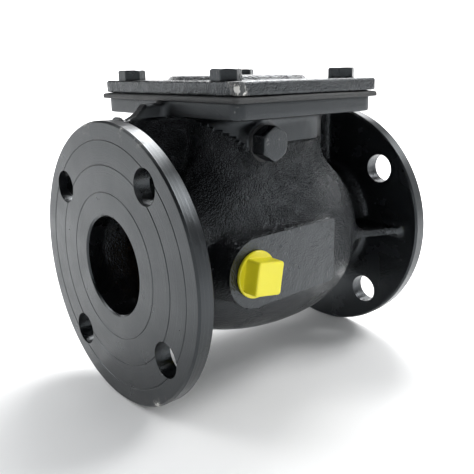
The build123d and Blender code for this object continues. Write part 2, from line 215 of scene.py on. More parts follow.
def round_rect(u, v, half_u, half_v, corner):
    """A rectangle with rounded corners, as a flat field."""
    past_u = np.abs(u) - half_u + corner
    past_v = np.abs(v) - half_v + corner
    outside = np.hypot(np.maximum(past_u, 0), np.maximum(past_v, 0))
    return outside + np.minimum(np.maximum(past_u, past_v), 0) - corner


def prism(flat, along, start, end, edge):
    """A flat outline carried from start to end, with its edges rounded."""
    past_flat = flat + edge
    past_end = np.abs(along - (start + end) / 2) - (end - start) / 2 + edge
    outside = np.hypot(np.maximum(past_flat, 0), np.maximum(past_end, 0))
    return outside + np.minimum(np.maximum(past_flat, past_end), 0) - edge


def above_line(u, v, start, end):
    """Distance above the line through two points (u, v)."""
    run, rise = end[0] - start[0], end[1] - start[1]
    return ((v - start[1]) * run - (u - start[0]) * rise) / math.hypot(run, rise)


def seat_frame(x, z):
    """Distances along the seat's leaning axis and up its face, from its centre."""
    u = (x - seat_centre.x) * seat_axis.x + (z - seat_centre.z) * seat_axis.z
    w = (z - seat_centre.z) * seat_axis.x - (x - seat_centre.x) * seat_axis.z
    return u, w


def bowl(s, x, radius, inset):
    """The bowl's outline turned about the pipe axis, inset by a wall."""
    half_length, half_width = s.bowl_half_length - inset, s.bowl_radius - inset
    along = x - mid - s.bowl_shift
    near = np.hypot(along / half_length, radius / half_width)
    steep = np.hypot(along / half_length ** 2, radius / half_width ** 2)
    round_part = near * (near - 1) / np.maximum(steep, 1)
    foot = mid + s.bowl_end + s.pipe_radius - inset * math.sqrt(2)
    slope = (x + radius - foot) / math.sqrt(2)
    form = overlap(round_part, slope, OUTLET_FILLET)
    return np.maximum(form, mid - s.bowl_end - x)


def side_pads(s, x, side, z):
    """Flat pads on both sides, each with one round end and one square end."""
    round_end = np.hypot(x - mid - s.pad_from, z) - s.pad_height
    square_end = round_rect(x - mid - (s.pad_from + s.pad_to) / 2, z,
                            (s.pad_to - s.pad_from) / 2, s.pad_height, 3 * MM)
    return prism(np.minimum(round_end, square_end), side, 0, s.pad_reach + MACHINING, 1.2 * MM)


def webs(s, x, y, z):
    """Upright webs from the pipe flanges to the top flange, with hollowed tops."""
    from_face = mid - np.abs(x - mid)
    edge = joint_height - s.flange_edge
    level_from = mid - s.top_x - s.web_level
    foot = (s.flange_thickness, flange_radius - s.flange_edge)
    run = np.clip((from_face - s.flange_thickness) / (level_from - s.flange_thickness), 0, 1)
    top = above_line(from_face, z, foot, (level_from, edge)) + s.web_sag * np.sin(math.pi * run)
    web = prism(np.maximum(top, z - edge), y, -s.web / 2, s.web / 2, 1.5 * MM)
    return np.maximum(web, np.maximum(INTO_FLANGE - from_face, -z))


def gussets(s, x, side, z):
    """Level gussets between the bowl and the outlet flange."""
    start = mid + s.gusset_from
    share = (s.gusset_from - s.bowl_shift) / s.bowl_half_length
    leaves = s.bowl_radius * math.sqrt(1 - share ** 2)
    rib_top = above_line(x, side, (start, leaves), (length - s.flange_thickness, s.gusset_reach))
    rib = prism(rib_top, z, -s.gusset / 2, s.gusset / 2, 1.4 * MM)
    return np.maximum(rib, np.maximum(mid - x, x - length + INTO_FLANGE))


def body_outside(s, x, y, z):
    """The casting's outside before machining, with a fillet wherever two forms meet."""
    radius = np.hypot(y, z)
    side = np.abs(y)
    from_mid = np.abs(x - mid)
    pipe = prism(radius - s.pipe_radius, from_mid, -mid, mid - INTO_FLANGE, MM)
    form = union(pipe, bowl(s, x, radius, 0), BOWL_FILLET)
    neck = prism(round_rect(x - mid, y, s.neck_x, s.neck_y, s.neck_corner),
                 z, 0, joint_height - MM, MM)
    form = union(form, neck, NECK_FILLET)
    boss = prism(np.hypot(x - pin_centre.x, z - pin_centre.z) - s.boss, -y, 0, s.boss_reach, MM)
    form = union(form, boss, BOSS_FILLET)
    top = prism(round_rect(x - mid, y, s.top_x, s.top_y, s.top_corner), z,
                joint_height - s.top_thickness, joint_height + MACHINING, 1.3 * MM)
    form = union(form, top, TOP_FILLET)
    form = union(form, side_pads(s, x, side, z), PAD_FILLET)
    flange = prism(radius - flange_radius - MACHINING, from_mid, mid - s.flange_thickness,
                   mid + MACHINING, 0.8 * MM)
    form = union(form, flange, FLANGE_FILLET)
    form = union(form, webs(s, x, y, z), WEB_FILLET)
    return union(form, gussets(s, x, side, z), GUSSET_FILLET)


def waterway(s, x, y, z):
    """The cored passage on both sides of the seat's partition."""
    radius = np.hypot(y, z)
    u, _ = seat_frame(x, z)
    widening = seat_centre.x - s.partition - s.flare_start
    share = np.clip((x - s.flare_start) / widening, 0, 1)
    slant = 0.9                  # the widening passage leans, so its distance is a little less
    passage = (radius - s.bore - (s.flare - s.bore) * share) * slant
    upstream_end, downstream_start = 10 * MM, 2 * MM
    upstream = overlap(passage, u + upstream_end, CORE_FILLET)
    outlet = np.maximum(radius - s.bore, mid - x)
    chamber = union(bowl(s, x, radius, s.wall), outlet, OUTLET_FILLET)
    inner_neck = prism(round_rect(x - mid, y, s.neck_x - s.wall, s.neck_y - s.wall,
                                  s.neck_corner - s.wall), z, 0, joint_height + 10 * MM, MM)
    chamber = union(chamber, inner_neck, INNER_NECK_FILLET)
    downstream = overlap(chamber, -u - downstream_start, CORE_FILLET)
    lugs = prism(np.hypot(x - pin_centre.x, z - pin_centre.z) - s.boss, np.abs(y),
                 s.lug_gap, s.neck_y, 0.5 * MM)
    return np.minimum(upstream, less(downstream, lugs, CORE_FILLET))


# ---- Meshes ----
def make_object(name, points, faces):
    mesh = bpy.data.meshes.new(name)
    mesh.from_pydata(np.asarray(points).tolist(), [], faces)
    mesh.update()
    obj = bpy.data.objects.new(name, mesh)
    bpy.context.scene.collection.objects.link(obj)
    return obj


def surface(name, field, low, high, step):
    """A closed mesh of quads on the surface where field(x, y, z) is 0."""
    counts = [int(math.ceil((b - a) / step)) + 1 for a, b in zip(low, high)]
    axes = [a + step * np.arange(n) for a, n in zip(low, counts)]
    value = field(*np.meshgrid(*axes, indexing="ij"))
    inside = value < 0
    cells = tuple(n - 1 for n in counts)
    total, hits = np.zeros(cells + (3,)), np.zeros(cells, int)
    crossings = []
    for axis in range(3):
        first = tuple(slice(0, -1) if a == axis else slice(None) for a in range(3))
        second = tuple(slice(1, None) if a == axis else slice(None) for a in range(3))
        crossed = inside[first] != inside[second]
        at = np.argwhere(crossed)
        a, b = value[first][crossed], value[second][crossed]
        spot = at.astype(float)
        spot[:, axis] += a / (a - b)
        crossings.append((axis, at, inside[first][crossed]))
        others = [n for n in range(3) if n != axis]
        for d in ((0, 0), (0, 1), (1, 0), (1, 1)):
            cell = at.copy()
            cell[:, others[0]] -= d[0]
            cell[:, others[1]] -= d[1]
            fits = np.all((cell >= 0) & (cell < cells), axis=1)
            where = tuple(cell[fits].T)
            np.add.at(total, where, spot[fits])
            np.add.at(hits, where, 1)
    used = hits > 0
    number = np.full(cells, -1)
    number[used] = np.arange(used.sum())
    points = np.array(low) + step * total[used] / hits[used][:, None]
    quads = []
    for axis, at, starts_inside in crossings:
        u, v = [n for n in range(3) if n != axis]
        corners = []
        for d in ((1, 1), (0, 1), (0, 0), (1, 0)):
            cell = at.copy()
            cell[:, u] -= d[0]
            cell[:, v] -= d[1]
            corners.append(number[tuple(cell.T)])
        quad = np.stack(corners, axis=1)
        flip = starts_inside if axis == 1 else ~starts_inside
        quad[flip] = quad[flip][:, ::-1]
        quads.append(quad)
    quads = np.concatenate(quads)
    points = settle(points, quads, field, step)
    return make_object(name, points, quads.tolist())


def slope_of(field, points, reach):
    """The field's value and gradient at each point."""
    x, y, z = points.T
    value = field(x, y, z)
    slope = np.stack([field(x + reach, y, z) - field(x - reach, y, z),
                      field(x, y + reach, z) - field(x, y - reach, z),
                      field(x, y, z + reach) - field(x, y, z - reach)], axis=1) / (2 * reach)
    return value, slope


def settle(points, quads, field, step):
    """Evens the mesh out and moves its points exactly onto the surface."""
    for evening in (0.5, 0.5, 0.3, 0):
        if evening:
            total, count = np.zeros_like(points), np.zeros(len(points))
            for a, b in ((0, 1), (1, 2), (2, 3), (3, 0)):
                np.add.at(total, quads[:, a], points[quads[:, b]])
                np.add.at(total, quads[:, b], points[quads[:, a]])
                np.add.at(count, quads[:, a], 1)
                np.add.at(count, quads[:, b], 1)
            points = points + evening * (total / count[:, None] - points)
        value, slope = slope_of(field, points, step / 20)
        steepness = np.maximum((slope ** 2).sum(1), 0.2)
        move = -value / steepness
        points = points + np.clip(move, -step / 2, step / 2)[:, None] * slope
    return points


def skin(name, rings, loop=False):
    """Quads between rings of equal length, closed at both ends or round to the first ring."""
    count = len(rings[0])
    points = np.concatenate(rings)
    here = np.arange(count)
    ahead = np.roll(here, -1)
    faces = []
    pairs = len(rings) if loop else len(rings) - 1
    for n in range(pairs):
        a, b = n * count, (n + 1) % len(rings) * count
        faces += np.stack([a + here, a + ahead, b + ahead, b + here], axis=1).tolist()
    if not loop:
        faces += [here.tolist()[::-1], ((len(rings) - 1) * count + here).tolist()]
    obj = make_object(name, points, faces)
    tidy_shell(obj.data)
    return obj


def tidy_shell(mesh):
    """Joins points that meet and turns every face outwards."""
    shell = bmesh.new()
    shell.from_mesh(mesh)
    bmesh.ops.remove_doubles(shell, verts=shell.verts, dist=1e-6)
    bmesh.ops.recalc_face_normals(shell, faces=shell.faces)
    shell.to_mesh(mesh)
    shell.free()


def turned(name, profile, place=None, segments=160):
    """A closed solid turned about the X axis from (distance along, radius) points."""
    angle = np.linspace(0, 2 * math.pi, segments, endpoint=False)
    rings = [np.stack([np.full(segments, along), radius * np.cos(angle),
                       radius * np.sin(angle)], axis=1) for along, radius in profile]
    obj = skin(name, rings, loop=profile[0][1] > 0)
    if place is not None:
        obj.data.transform(place)
    return obj


def in_mm(points):
    return [(a * MM, b * MM) for a, b in points]


def along_x(x, y=0.0, z=0.0):
    """Puts a turned piece at this place, with its axis along +X."""
    return Matrix.Translation((x, y, z))


def along_y(x, z, start):
    """Puts a turned piece's axis along +Y."""
    return Matrix.Translation((x, start, z)) @ Matrix.Rotation(math.pi / 2, 4, "Z")


def along_z(x, y, start):
    """Stands a turned piece up along +Z."""
    return Matrix.Translation((x, y, start)) @ Matrix.Rotation(-math.pi / 2, 4, "Y")


def on_seat():
    """The seat's own axes, leaning back from the pipe's."""
    lean = math.atan2(seat_axis.z, seat_axis.x)
    return Matrix.Translation(seat_centre) @ Matrix.Rotation(-lean, 4, "Y")


def rod(name, radius, start, end, place, segments=48):
    """A plain round bar."""
    return turned(name, [(start, 0), (start, radius), (end, radius), (end, 0)], place, segments)


def machine(obj, cutters):
    """Cuts the solids from obj and leaves a plain mesh."""
    for cutter in cutters:
        cut = obj.modifiers.new(cutter.name, "BOOLEAN")
        cut.operation = "DIFFERENCE"
        cut.solver = "MANIFOLD"
        cut.object = cutter
    plain_mesh(obj)
    for cutter in cutters:
        bpy.data.objects.remove(cutter)


def plain_mesh(obj):
    """Turns what the modifiers make into the piece's own mesh."""
    graph = bpy.context.evaluated_depsgraph_get()
    mesh = bpy.data.meshes.new_from_object(obj.evaluated_get(graph))
    obj.modifiers.clear()
    obj.data = mesh
    mesh.name = obj.name


def points_of(mesh):
    points = np.empty(len(mesh.vertices) * 3)
    mesh.vertices.foreach_get("co", points)
    return points.reshape(-1, 3)


def normals_of(mesh):
    normals = np.empty(len(mesh.vertices) * 3)
    mesh.vertices.foreach_get("normal", normals)
    return normals.reshape(-1, 3)


def roughen(obj, depth, grain, seed):
    """Moves each point along its normal by lumps of two sizes."""
    points, normals = points_of(obj.data), normals_of(obj.data)
    amount = grain(*points.T) * depth
    shift = Vector((seed, 2 * seed, 3 * seed))
    small = np.array([noise.noise(Vector(p) * 260 + shift) for p in points])
    large = np.array([noise.noise(Vector(p) * 110 - shift) for p in points])
    lumps = small + 0.6 * large
    obj.data.vertices.foreach_set("co", (points + (amount * lumps)[:, None] * normals).ravel())


def shade(obj, angle=38):
    """Smooth shading, with edges sharper than the angle left crisp."""
    mesh = obj.data
    mesh.polygons.foreach_set("use_smooth", [True] * len(mesh.polygons))
    mesh.set_sharp_from_angle(angle=math.radians(angle))


def paint(obj, name, values):
    """Stores a number at each point for the materials to read."""
    layer = obj.data.attributes.new(name, "FLOAT", "POINT")
    layer.data.foreach_set("value", np.clip(values, 0, 1))


def finish_piece(obj, material, body, slot, *nodes):
    """Gives a piece its finish and body, and hides the design nodes that it stands for."""
    obj.data.materials.clear()
    obj.data.materials.append(material)
    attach(obj, body)
    if nodes:
        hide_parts(*nodes)
    return obj


# ---- Materials ----
def add(tree, kind, values=None, **settings):
    """A node with its settings, and its inputs set or linked."""
    made = tree.nodes.new(kind)
    for name, value in settings.items():
        setattr(made, name, value)
    for name, value in (values or {}).items():
        if isinstance(value, bpy.types.NodeSocket):
            tree.links.new(value, made.inputs[name])
        else:
            made.inputs[name].default_value = value
    return made


def maths(tree, operation, a, b=0.0, clamp=False):
    return add(tree, "ShaderNodeMath", {0: a, 1: b}, operation=operation,
               use_clamp=clamp).outputs[0]


def noise_at(tree, place, scale, detail, roughness=0.5):
    """Soft random patches, between 0 and 1."""
    return add(tree, "ShaderNodeTexNoise", {"Vector": place, "Scale": scale, "Detail": detail,
                                            "Roughness": roughness}).outputs["Fac"]


def spread(tree, value, low, high, to_low=0.0, to_high=1.0):
    """Maps low..high to to_low..to_high with soft ends."""
    return add(tree, "ShaderNodeMapRange", {"Value": value, "From Min": low, "From Max": high,
                                            "To Min": to_low, "To Max": to_high},
               interpolation_type="SMOOTHSTEP").outputs[0]


def mixed(tree, share, a, b):
    made = add(tree, "ShaderNodeMix", data_type="RGBA")
    for socket, value in ((made.inputs[0], share), (made.inputs[6], a), (made.inputs[7], b)):
        if isinstance(value, bpy.types.NodeSocket):
            tree.links.new(value, socket)
        elif isinstance(value, (int, float)):
            socket.default_value = value
        else:
            socket.default_value = (*value, 1)
    return made.outputs[2]


FLOAT, VECTOR = "NodeSocketFloat", "NodeSocketVector"


def group(name, inputs, outputs, build):
    """A shader node group with named float and vector sockets, made once."""
    if name in bpy.data.node_groups:
        return bpy.data.node_groups[name]
    tree = bpy.data.node_groups.new(name, "ShaderNodeTree")
    for label, kind, default in inputs:
        socket = tree.interface.new_socket(label, in_out="INPUT", socket_type=kind)
        if default is not None:
            socket.default_value = default
    for label in outputs:
        tree.interface.new_socket(label, in_out="OUTPUT", socket_type=FLOAT)
    given, result = tree.nodes.new("NodeGroupInput"), tree.nodes.new("NodeGroupOutput")
    for label, socket in zip(outputs, build(tree, given.outputs)):
        tree.links.new(socket, result.inputs[label])
    return tree


def place_group(tree, shared, **values):
    made = tree.nodes.new("ShaderNodeGroup")
    made.node_tree = shared
    for name, value in values.items():
        label = name.replace("_", " ")
        if isinstance(value, bpy.types.NodeSocket):
            tree.links.new(value, made.inputs[label])
        else:
            made.inputs[label].default_value = value
    return made.outputs


def cast_grain():
    """Lumps and pits that a sand mould leaves, softened by enamel."""
    def build(tree, given):
        place = given["Vector"]
        lumps = noise_at(tree, place, given["Scale"], 4.0, 0.62)
        broad = noise_at(tree, place, 110.0, 2.0)
        sand = add(tree, "ShaderNodeTexVoronoi", {"Vector": place, "Scale": given["Fine Scale"],
                                                  "Smoothness": 0.5}, feature="SMOOTH_F1")
        rounded = maths(tree, "SUBTRACT", 1.0, sand.outputs["Distance"])
        height = maths(tree, "ADD", maths(tree, "MULTIPLY", rounded, 0.55), lumps)
        coarse = spread(tree, broad, 0.3, 0.7, 0.55, 1.0)
        height = maths(tree, "MULTIPLY", height, maths(tree, "MULTIPLY", coarse, given["Amount"]))
        return height, lumps
    return group("Cast Grain", [("Vector", VECTOR, None), ("Scale", FLOAT, 520.0),
                                ("Fine Scale", FLOAT, 950.0), ("Amount", FLOAT, 1.0)],
                 ["Height", "Patches"], build)


def edge_chips():
    """Where enamel has been knocked off near an edge."""
    def build(tree, given):
        broad = noise_at(tree, given["Vector"], given["Scale"], 5.0, 0.65)
        fine = noise_at(tree, given["Vector"], 900.0, 4.0, 0.7)
        both = maths(tree, "ADD", maths(tree, "MULTIPLY", fine, 0.35), broad)
        level = maths(tree, "MULTIPLY", given["Wear"], given["Reach"])
        edge = maths(tree, "ADD", both, level)
        return spread(tree, edge, 1.08, 1.13), spread(tree, edge, 0.95, 1.1)
    return group("Edge Chips", [("Vector", VECTOR, None), ("Scale", FLOAT, 160.0),
                                ("Wear", FLOAT, 0.0), ("Reach", FLOAT, 0.5)],
                 ["Chips", "Scuffs"], build)


def tool_marks():
    """Fine rings left by turning, about an axis along X through the given centre."""
    def build(tree, given):
        centred = add(tree, "ShaderNodeVectorMath", {0: given["Vector"], 1: given["Centre"]},
                      operation="SUBTRACT").outputs[0]
        parts = add(tree, "ShaderNodeSeparateXYZ", {0: centred})
        flat = add(tree, "ShaderNodeCombineXYZ", {"Y": parts.outputs["Y"], "Z": parts.outputs["Z"]})
        radius = add(tree, "ShaderNodeVectorMath", {0: flat.outputs[0]}, operation="LENGTH")
        along = maths(tree, "MULTIPLY", parts.outputs["X"], 0.6)
        turned_at = add(tree, "ShaderNodeCombineXYZ", {"X": radius.outputs["Value"], "Y": along})
        rings = noise_at(tree, turned_at.outputs[0], given["Scale"], 3.0, 0.6)
        return (maths(tree, "MULTIPLY", rings, given["Amount"]),)
    return group("Tool Marks", [("Vector", VECTOR, None), ("Centre", VECTOR, None),
                                ("Scale", FLOAT, 900.0), ("Amount", FLOAT, 1.0)],
                 ["Height"], build)


def new_material(name):
    if name in bpy.data.materials:
        return None, None, None, bpy.data.materials[name]
    material = bpy.data.materials.new(name)
    material.use_nodes = True
    tree = material.node_tree
    shader = next(n for n in tree.nodes if n.type == "BSDF_PRINCIPLED")
    place = add(tree, "ShaderNodeTexCoord").outputs["Object"]
    return tree, shader, place, material


def feed(tree, shader, **values):
    """Links values to the shader's inputs, with _ for a space in their names."""
    for name, value in values.items():
        tree.links.new(value, shader.inputs[name.replace("_", " ")])


def bump(tree, shader, height, distance):
    made = add(tree, "ShaderNodeBump", {"Height": height, "Distance": distance})
    feed(tree, shader, Normal=made.outputs[0])


def attribute(tree, name):
    return add(tree, "ShaderNodeAttribute", attribute_name=name).outputs["Fac"]


def enamel(name, scale=620.0, roughness=0.22, marks=0.0):
    """Glossy black enamel: rough where the casting is rough, and chipped at worn edges, with some chips dark,
    partly for rust and partly as painted shade in their pits.
    """
    tree, shader, place, material = new_material(name)
    if tree is None:
        return material
    f = bpy.context.scene.valve_finishes
    rough, wear, smooth = (attribute(tree, n) for n in ("grain", "wear", "machined"))
    grain = place_group(tree, cast_grain(), Vector=place, Scale=scale, Amount=rough)
    chips = place_group(tree, edge_chips(), Vector=place, Wear=wear)
    rings = place_group(tree, tool_marks(), Vector=place, Scale=1500.0,
                        Amount=maths(tree, "MULTIPLY", smooth, marks))
    broad = noise_at(tree, place, 45.0, 4.0)
    dusty = mixed(tree, spread(tree, broad, 0.45, 0.75, 0.0, 0.5),
                  tuple(f.enamel), tuple(min(1, 1.6 * c + 0.001) for c in f.enamel))
    scuffed = mixed(tree, maths(tree, "MULTIPLY", chips["Scuffs"], 0.2), dusty, tuple(f.bare))
    # Chips are pale bare metal in some places and dark in others; the dark tone stands partly for rust and partly
    # for painted shade in the chips' pits.
    bare_versus_rust_and_pit_shade = spread(tree, noise_at(tree, place, 190.0, 3.0), 0.47, 0.53)
    chipped = mixed(tree, bare_versus_rust_and_pit_shade, tuple(0.06 * c for c in f.bare), tuple(f.bare))
    varied = spread(tree, broad, 0.3, 0.7, roughness - 0.05, roughness + 0.07)
    varied = maths(tree, "ADD", varied, maths(tree, "MULTIPLY", chips["Scuffs"], 0.25))
    varied = maths(tree, "ADD", varied, maths(tree, "MULTIPLY", smooth, 0.1))
    feed(tree, shader, Base_Color=mixed(tree, chips["Chips"], scuffed, chipped), Roughness=varied)
    shader.inputs["IOR"].default_value = 1.62
    shader.inputs["Specular Tint"].default_value = (0.87, 0.94, 1, 1)
    height = maths(tree, "ADD", grain["Height"], rings["Height"])
    height = maths(tree, "SUBTRACT", height, maths(tree, "MULTIPLY", chips["Chips"], 0.3))
    bump(tree, shader, height, 3 * MM)
    return material


def bolt_enamel():
    return enamel("bolt_enamel", scale=900, roughness=0.3)


def joint_sheet():
    """Grey joint sheet, with the fibres that show on its cut edge."""
    tree, shader, place, material = new_material("joint_sheet")
    if tree is None:
        return material
    f = bpy.context.scene.valve_finishes
    flat = add(tree, "ShaderNodeMapping", {"Vector": place, "Scale": (1, 1, 6)})
    fibres = noise_at(tree, flat.outputs[0], 420.0, 5.0, 0.7)
    lighter = tuple(min(1, 2.2 * c + 0.01) for c in f.gasket)
    feed(tree, shader,
         Base_Color=mixed(tree, spread(tree, fibres, 0.4, 0.75), tuple(f.gasket), lighter),
         Roughness=spread(tree, fibres, 0.3, 0.7, 0.42, 0.62))
    bump(tree, shader, fibres, 0.35 * MM)
    return material


def moulded_plastic():
    """Yellow plastic: cloudy, finely scratched and a little translucent."""
    tree, shader, place, material = new_material("yellow_plastic")
    if tree is None:
        return material
    f = bpy.context.scene.valve_finishes
    clouds = noise_at(tree, place, 130.0, 4.0)
    streaks = add(tree, "ShaderNodeMapping", {"Vector": place, "Scale": (1, 1, 0.15),
                                              "Rotation": (0, 0.5, 0)})
    scratches = noise_at(tree, streaks.outputs[0], 1400.0, 3.0, 0.7)
    fine = noise_at(tree, place, 2400.0, 2.0)
    pale = tuple(min(1, c * 1.05 + 0.05) for c in f.plastic)
    worn = maths(tree, "MULTIPLY", spread(tree, clouds, 0.5, 0.75),
                 spread(tree, scratches, 0.5, 0.72))
    feed(tree, shader, Base_Color=mixed(tree, worn, tuple(f.plastic), pale),
         Roughness=spread(tree, clouds, 0.3, 0.7, 0.34, 0.5))
    shader.inputs["Subsurface Weight"].default_value = 0.15
    shader.inputs["Subsurface Radius"].default_value = (0.002, 0.0015, 0.0004)
    shader.inputs["Subsurface Scale"].default_value = 1.0
    height = maths(tree, "ADD", maths(tree, "MULTIPLY", fine, 0.15),
                   maths(tree, "MULTIPLY", scratches, 0.25))
    bump(tree, shader, height, 0.12 * MM)
    return material


def turned_metal(name, tone, roughness):
    """Machined metal with fine rings and a little tarnish."""
    tree, shader, place, material = new_material(name)
    if tree is None:
        return material
    rings = place_group(tree, tool_marks(), Vector=place, Scale=2200.0,
                        Centre=tuple(seat_centre))
    blotches = noise_at(tree, place, 90.0, 5.0)
    tarnished = tuple(0.75 * c for c in tone)
    feed(tree, shader,
         Base_Color=mixed(tree, spread(tree, blotches, 0.4, 0.7), tone, tarnished),
         Roughness=spread(tree, blotches, 0.3, 0.7, roughness, roughness + 0.15))
    shader.inputs["Metallic"].default_value = 1.0
    bump(tree, shader, rings["Height"], 0.05 * MM)
    return material


def turned_bronze():
    return turned_metal("turned_bronze", tuple(bpy.context.scene.valve_finishes.bronze), 0.26)


def turned_steel():
    return turned_metal("turned_steel", tuple(bpy.context.scene.valve_finishes.steel), 0.28)


def bare_iron():
    """Unpainted cast iron with a little rust in its pits."""
    tree, shader, place, material = new_material("bare_iron")
    if tree is None:
        return material
    f = bpy.context.scene.valve_finishes
    grain = place_group(tree, cast_grain(), Vector=place, Scale=700.0)
    warm = tuple(c * k for c, k in zip(f.iron, (1.7, 1.35, 1.05)))
    feed(tree, shader,
         Base_Color=mixed(tree, spread(tree, grain["Patches"], 0.45, 0.7), tuple(f.iron), warm),
         Roughness=spread(tree, grain["Patches"], 0.3, 0.7, 0.45, 0.68))
    shader.inputs["Metallic"].default_value = 0.7
    bump(tree, shader, grain["Height"], 0.25 * MM)
    return material


# ---- Shared shapes ----
def even_path(path, count):
    """Points evenly spaced along a closed path."""
    closed = np.vstack([path, path[:1]])
    run = np.r_[0, np.cumsum(np.hypot(*np.diff(closed, axis=0).T))]
    at = np.linspace(0, run[-1], count, endpoint=False)
    return np.stack([np.interp(at, run, closed[:, n]) for n in (0, 1)], axis=1)


def rounded_polygon(corners, radius, count):
    """A closed path round a convex polygon, counterclockwise, with its corners rounded."""
    path = []
    corners = [np.array(c, float) for c in corners]
    for n, corner in enumerate(corners):
        before, after = corners[n - 1] - corner, corners[(n + 1) % len(corners)] - corner
        before, after = before / np.hypot(*before), after / np.hypot(*after)
        half = math.acos(float(np.clip(before @ after, -1, 1))) / 2
        centre = corner + (before + after) / np.hypot(*(before + after)) * radius / math.sin(half)
        start = corner + before * radius / math.tan(half) - centre
        turn = np.linspace(0, math.pi - 2 * half, 9)
        path.append(centre + np.stack([start[0] * np.cos(turn) - start[1] * np.sin(turn),
                                       start[0] * np.sin(turn) + start[1] * np.cos(turn)], axis=1))
    return even_path(np.concatenate(path), count)


def rectangle(half_x, half_y, corner, count):
    return rounded_polygon([(half_x, half_y), (-half_x, half_y), (-half_x, -half_y),
                            (half_x, -half_y)], corner, count)


def polar(path, angles):
    """The distance from the middle to a closed path, at each angle."""
    turn = np.arctan2(path[:, 1], path[:, 0])
    order = np.argsort(turn)
    return np.interp(angles, turn[order], np.hypot(*path[order].T), period=2 * math.pi)


def ring(radius, angles, height):
    """Points at each angle round Z, at the given radii and height."""
    return np.stack([radius * np.cos(angles), radius * np.sin(angles),
                     np.full(len(angles), height)], axis=1)


def block(name, low, high):
    """A plain box between two corners."""
    x0, y0, z0 = low
    x1, y1, z1 = high
    base = np.array([(x0, y0), (x1, y0), (x1, y1), (x0, y1)])
    return skin(name, [np.column_stack([base, np.full(4, z)]) for z in (z0, z1)])


def bolt_rings(flats, head, thread, shank, pitch):
    """Rings along +Z for a hexagon-headed bolt whose head stands on z = 0."""
    angles = np.linspace(0, 2 * math.pi, 144, endpoint=False)
    corner = flats / math.sqrt(3)
    points = [(corner * math.cos(a), corner * math.sin(a))
              for a in math.pi / 6 + np.arange(6) * math.pi / 3]
    hexagon = polar(rounded_polygon(points, 1.1 * MM, 600), angles)
    root, turns = thread - 0.6 * pitch, int(shank / pitch)
    halfway = (root + thread) / 2
    rings = [ring(0, angles, -shank), ring(root - 0.5 * MM, angles, -shank)]
    for n in range(turns * 4):
        radius = (root, halfway, thread, halfway)[n % 4]
        rings.append(ring(radius, angles, -shank + (n + 2) * pitch / 4))
    rings += [ring(root, angles, -0.3 * MM), ring(root, angles, 0)]
    wide = flats / 2 * 0.97
    rings += [ring(wide, angles, 0), ring(hexagon * 0.985, angles, 0.15 * MM)]
    slope = math.tan(math.radians(30))
    for height in np.r_[np.linspace(0.06, 0.62, 5), np.linspace(0.68, 0.985, 11)] * head:
        cone = wide + (head - height) / slope
        rings.append(ring(union(hexagon, cone, 0.5 * MM), angles, height))
    rings += [ring(wide * share, angles, head) for share in (0.97, 0.9, 0.7, 0.4, 0)]
    return rings


# ---- Operators: one for each piece or group of like pieces ----
def knocks(s):
    """Where something hit the casting: the place, how far the wear reaches, how strong it is."""
    return [(5 * MM, -47 * MM, -79 * MM, 9 * MM, 0.75), (3 * MM, -60 * MM, -70 * MM, 6 * MM, 0.6),
            (0, 20 * MM, 88 * MM, 12 * MM, 0.5), (0, -18 * MM, 86 * MM, 8 * MM, 0.45),
            (mid - s.top_x, -s.top_y, joint_height, 8 * MM, 0.55),
            (2 * MM, 62 * MM, 66 * MM, 8 * MM, 0.4), (3 * MM, -40 * MM, 83 * MM, 6 * MM, 0.5)]


def casting_wear(s, x, y, z):
    """Wear near the flanges' edges, and where something hit them."""
    from_face = mid - np.abs(x - mid)
    past_edge = np.hypot(y, z) - flange_radius
    front = np.hypot(past_edge, from_face)
    back = np.hypot(past_edge, from_face - s.flange_thickness)
    wear = 0.5 * np.exp(-front / (1.5 * MM)) + 0.35 * np.exp(-back / (1.2 * MM))
    for px, py, pz, reach, amount in knocks(s):
        away = np.sqrt((x - px) ** 2 + (y - py) ** 2 + (z - pz) ** 2)
        wear = wear + amount * np.exp(-(away / reach) ** 2)
    return wear


def casting_grain(s, x, y, z):
    """How rough the casting is: most on top, least on the pads, flanges and faces."""
    from_face = mid - np.abs(x - mid)
    upper = np.clip((z + 10 * MM) / (60 * MM), 0, 1)
    on_pads, on_top_flange, underside = 0.16, 0.25, 0.4
    amount = underside + (1 - underside) * upper
    amount = np.where(np.abs(y) > s.pad_reach - 1.5 * MM, on_pads, amount)
    amount = np.where(z > joint_height - s.top_thickness - MM, on_top_flange, amount)
    back = np.clip((from_face - s.flange_thickness) / (8 * MM), 0, 1)
    return amount * (0.12 + 0.88 * back)


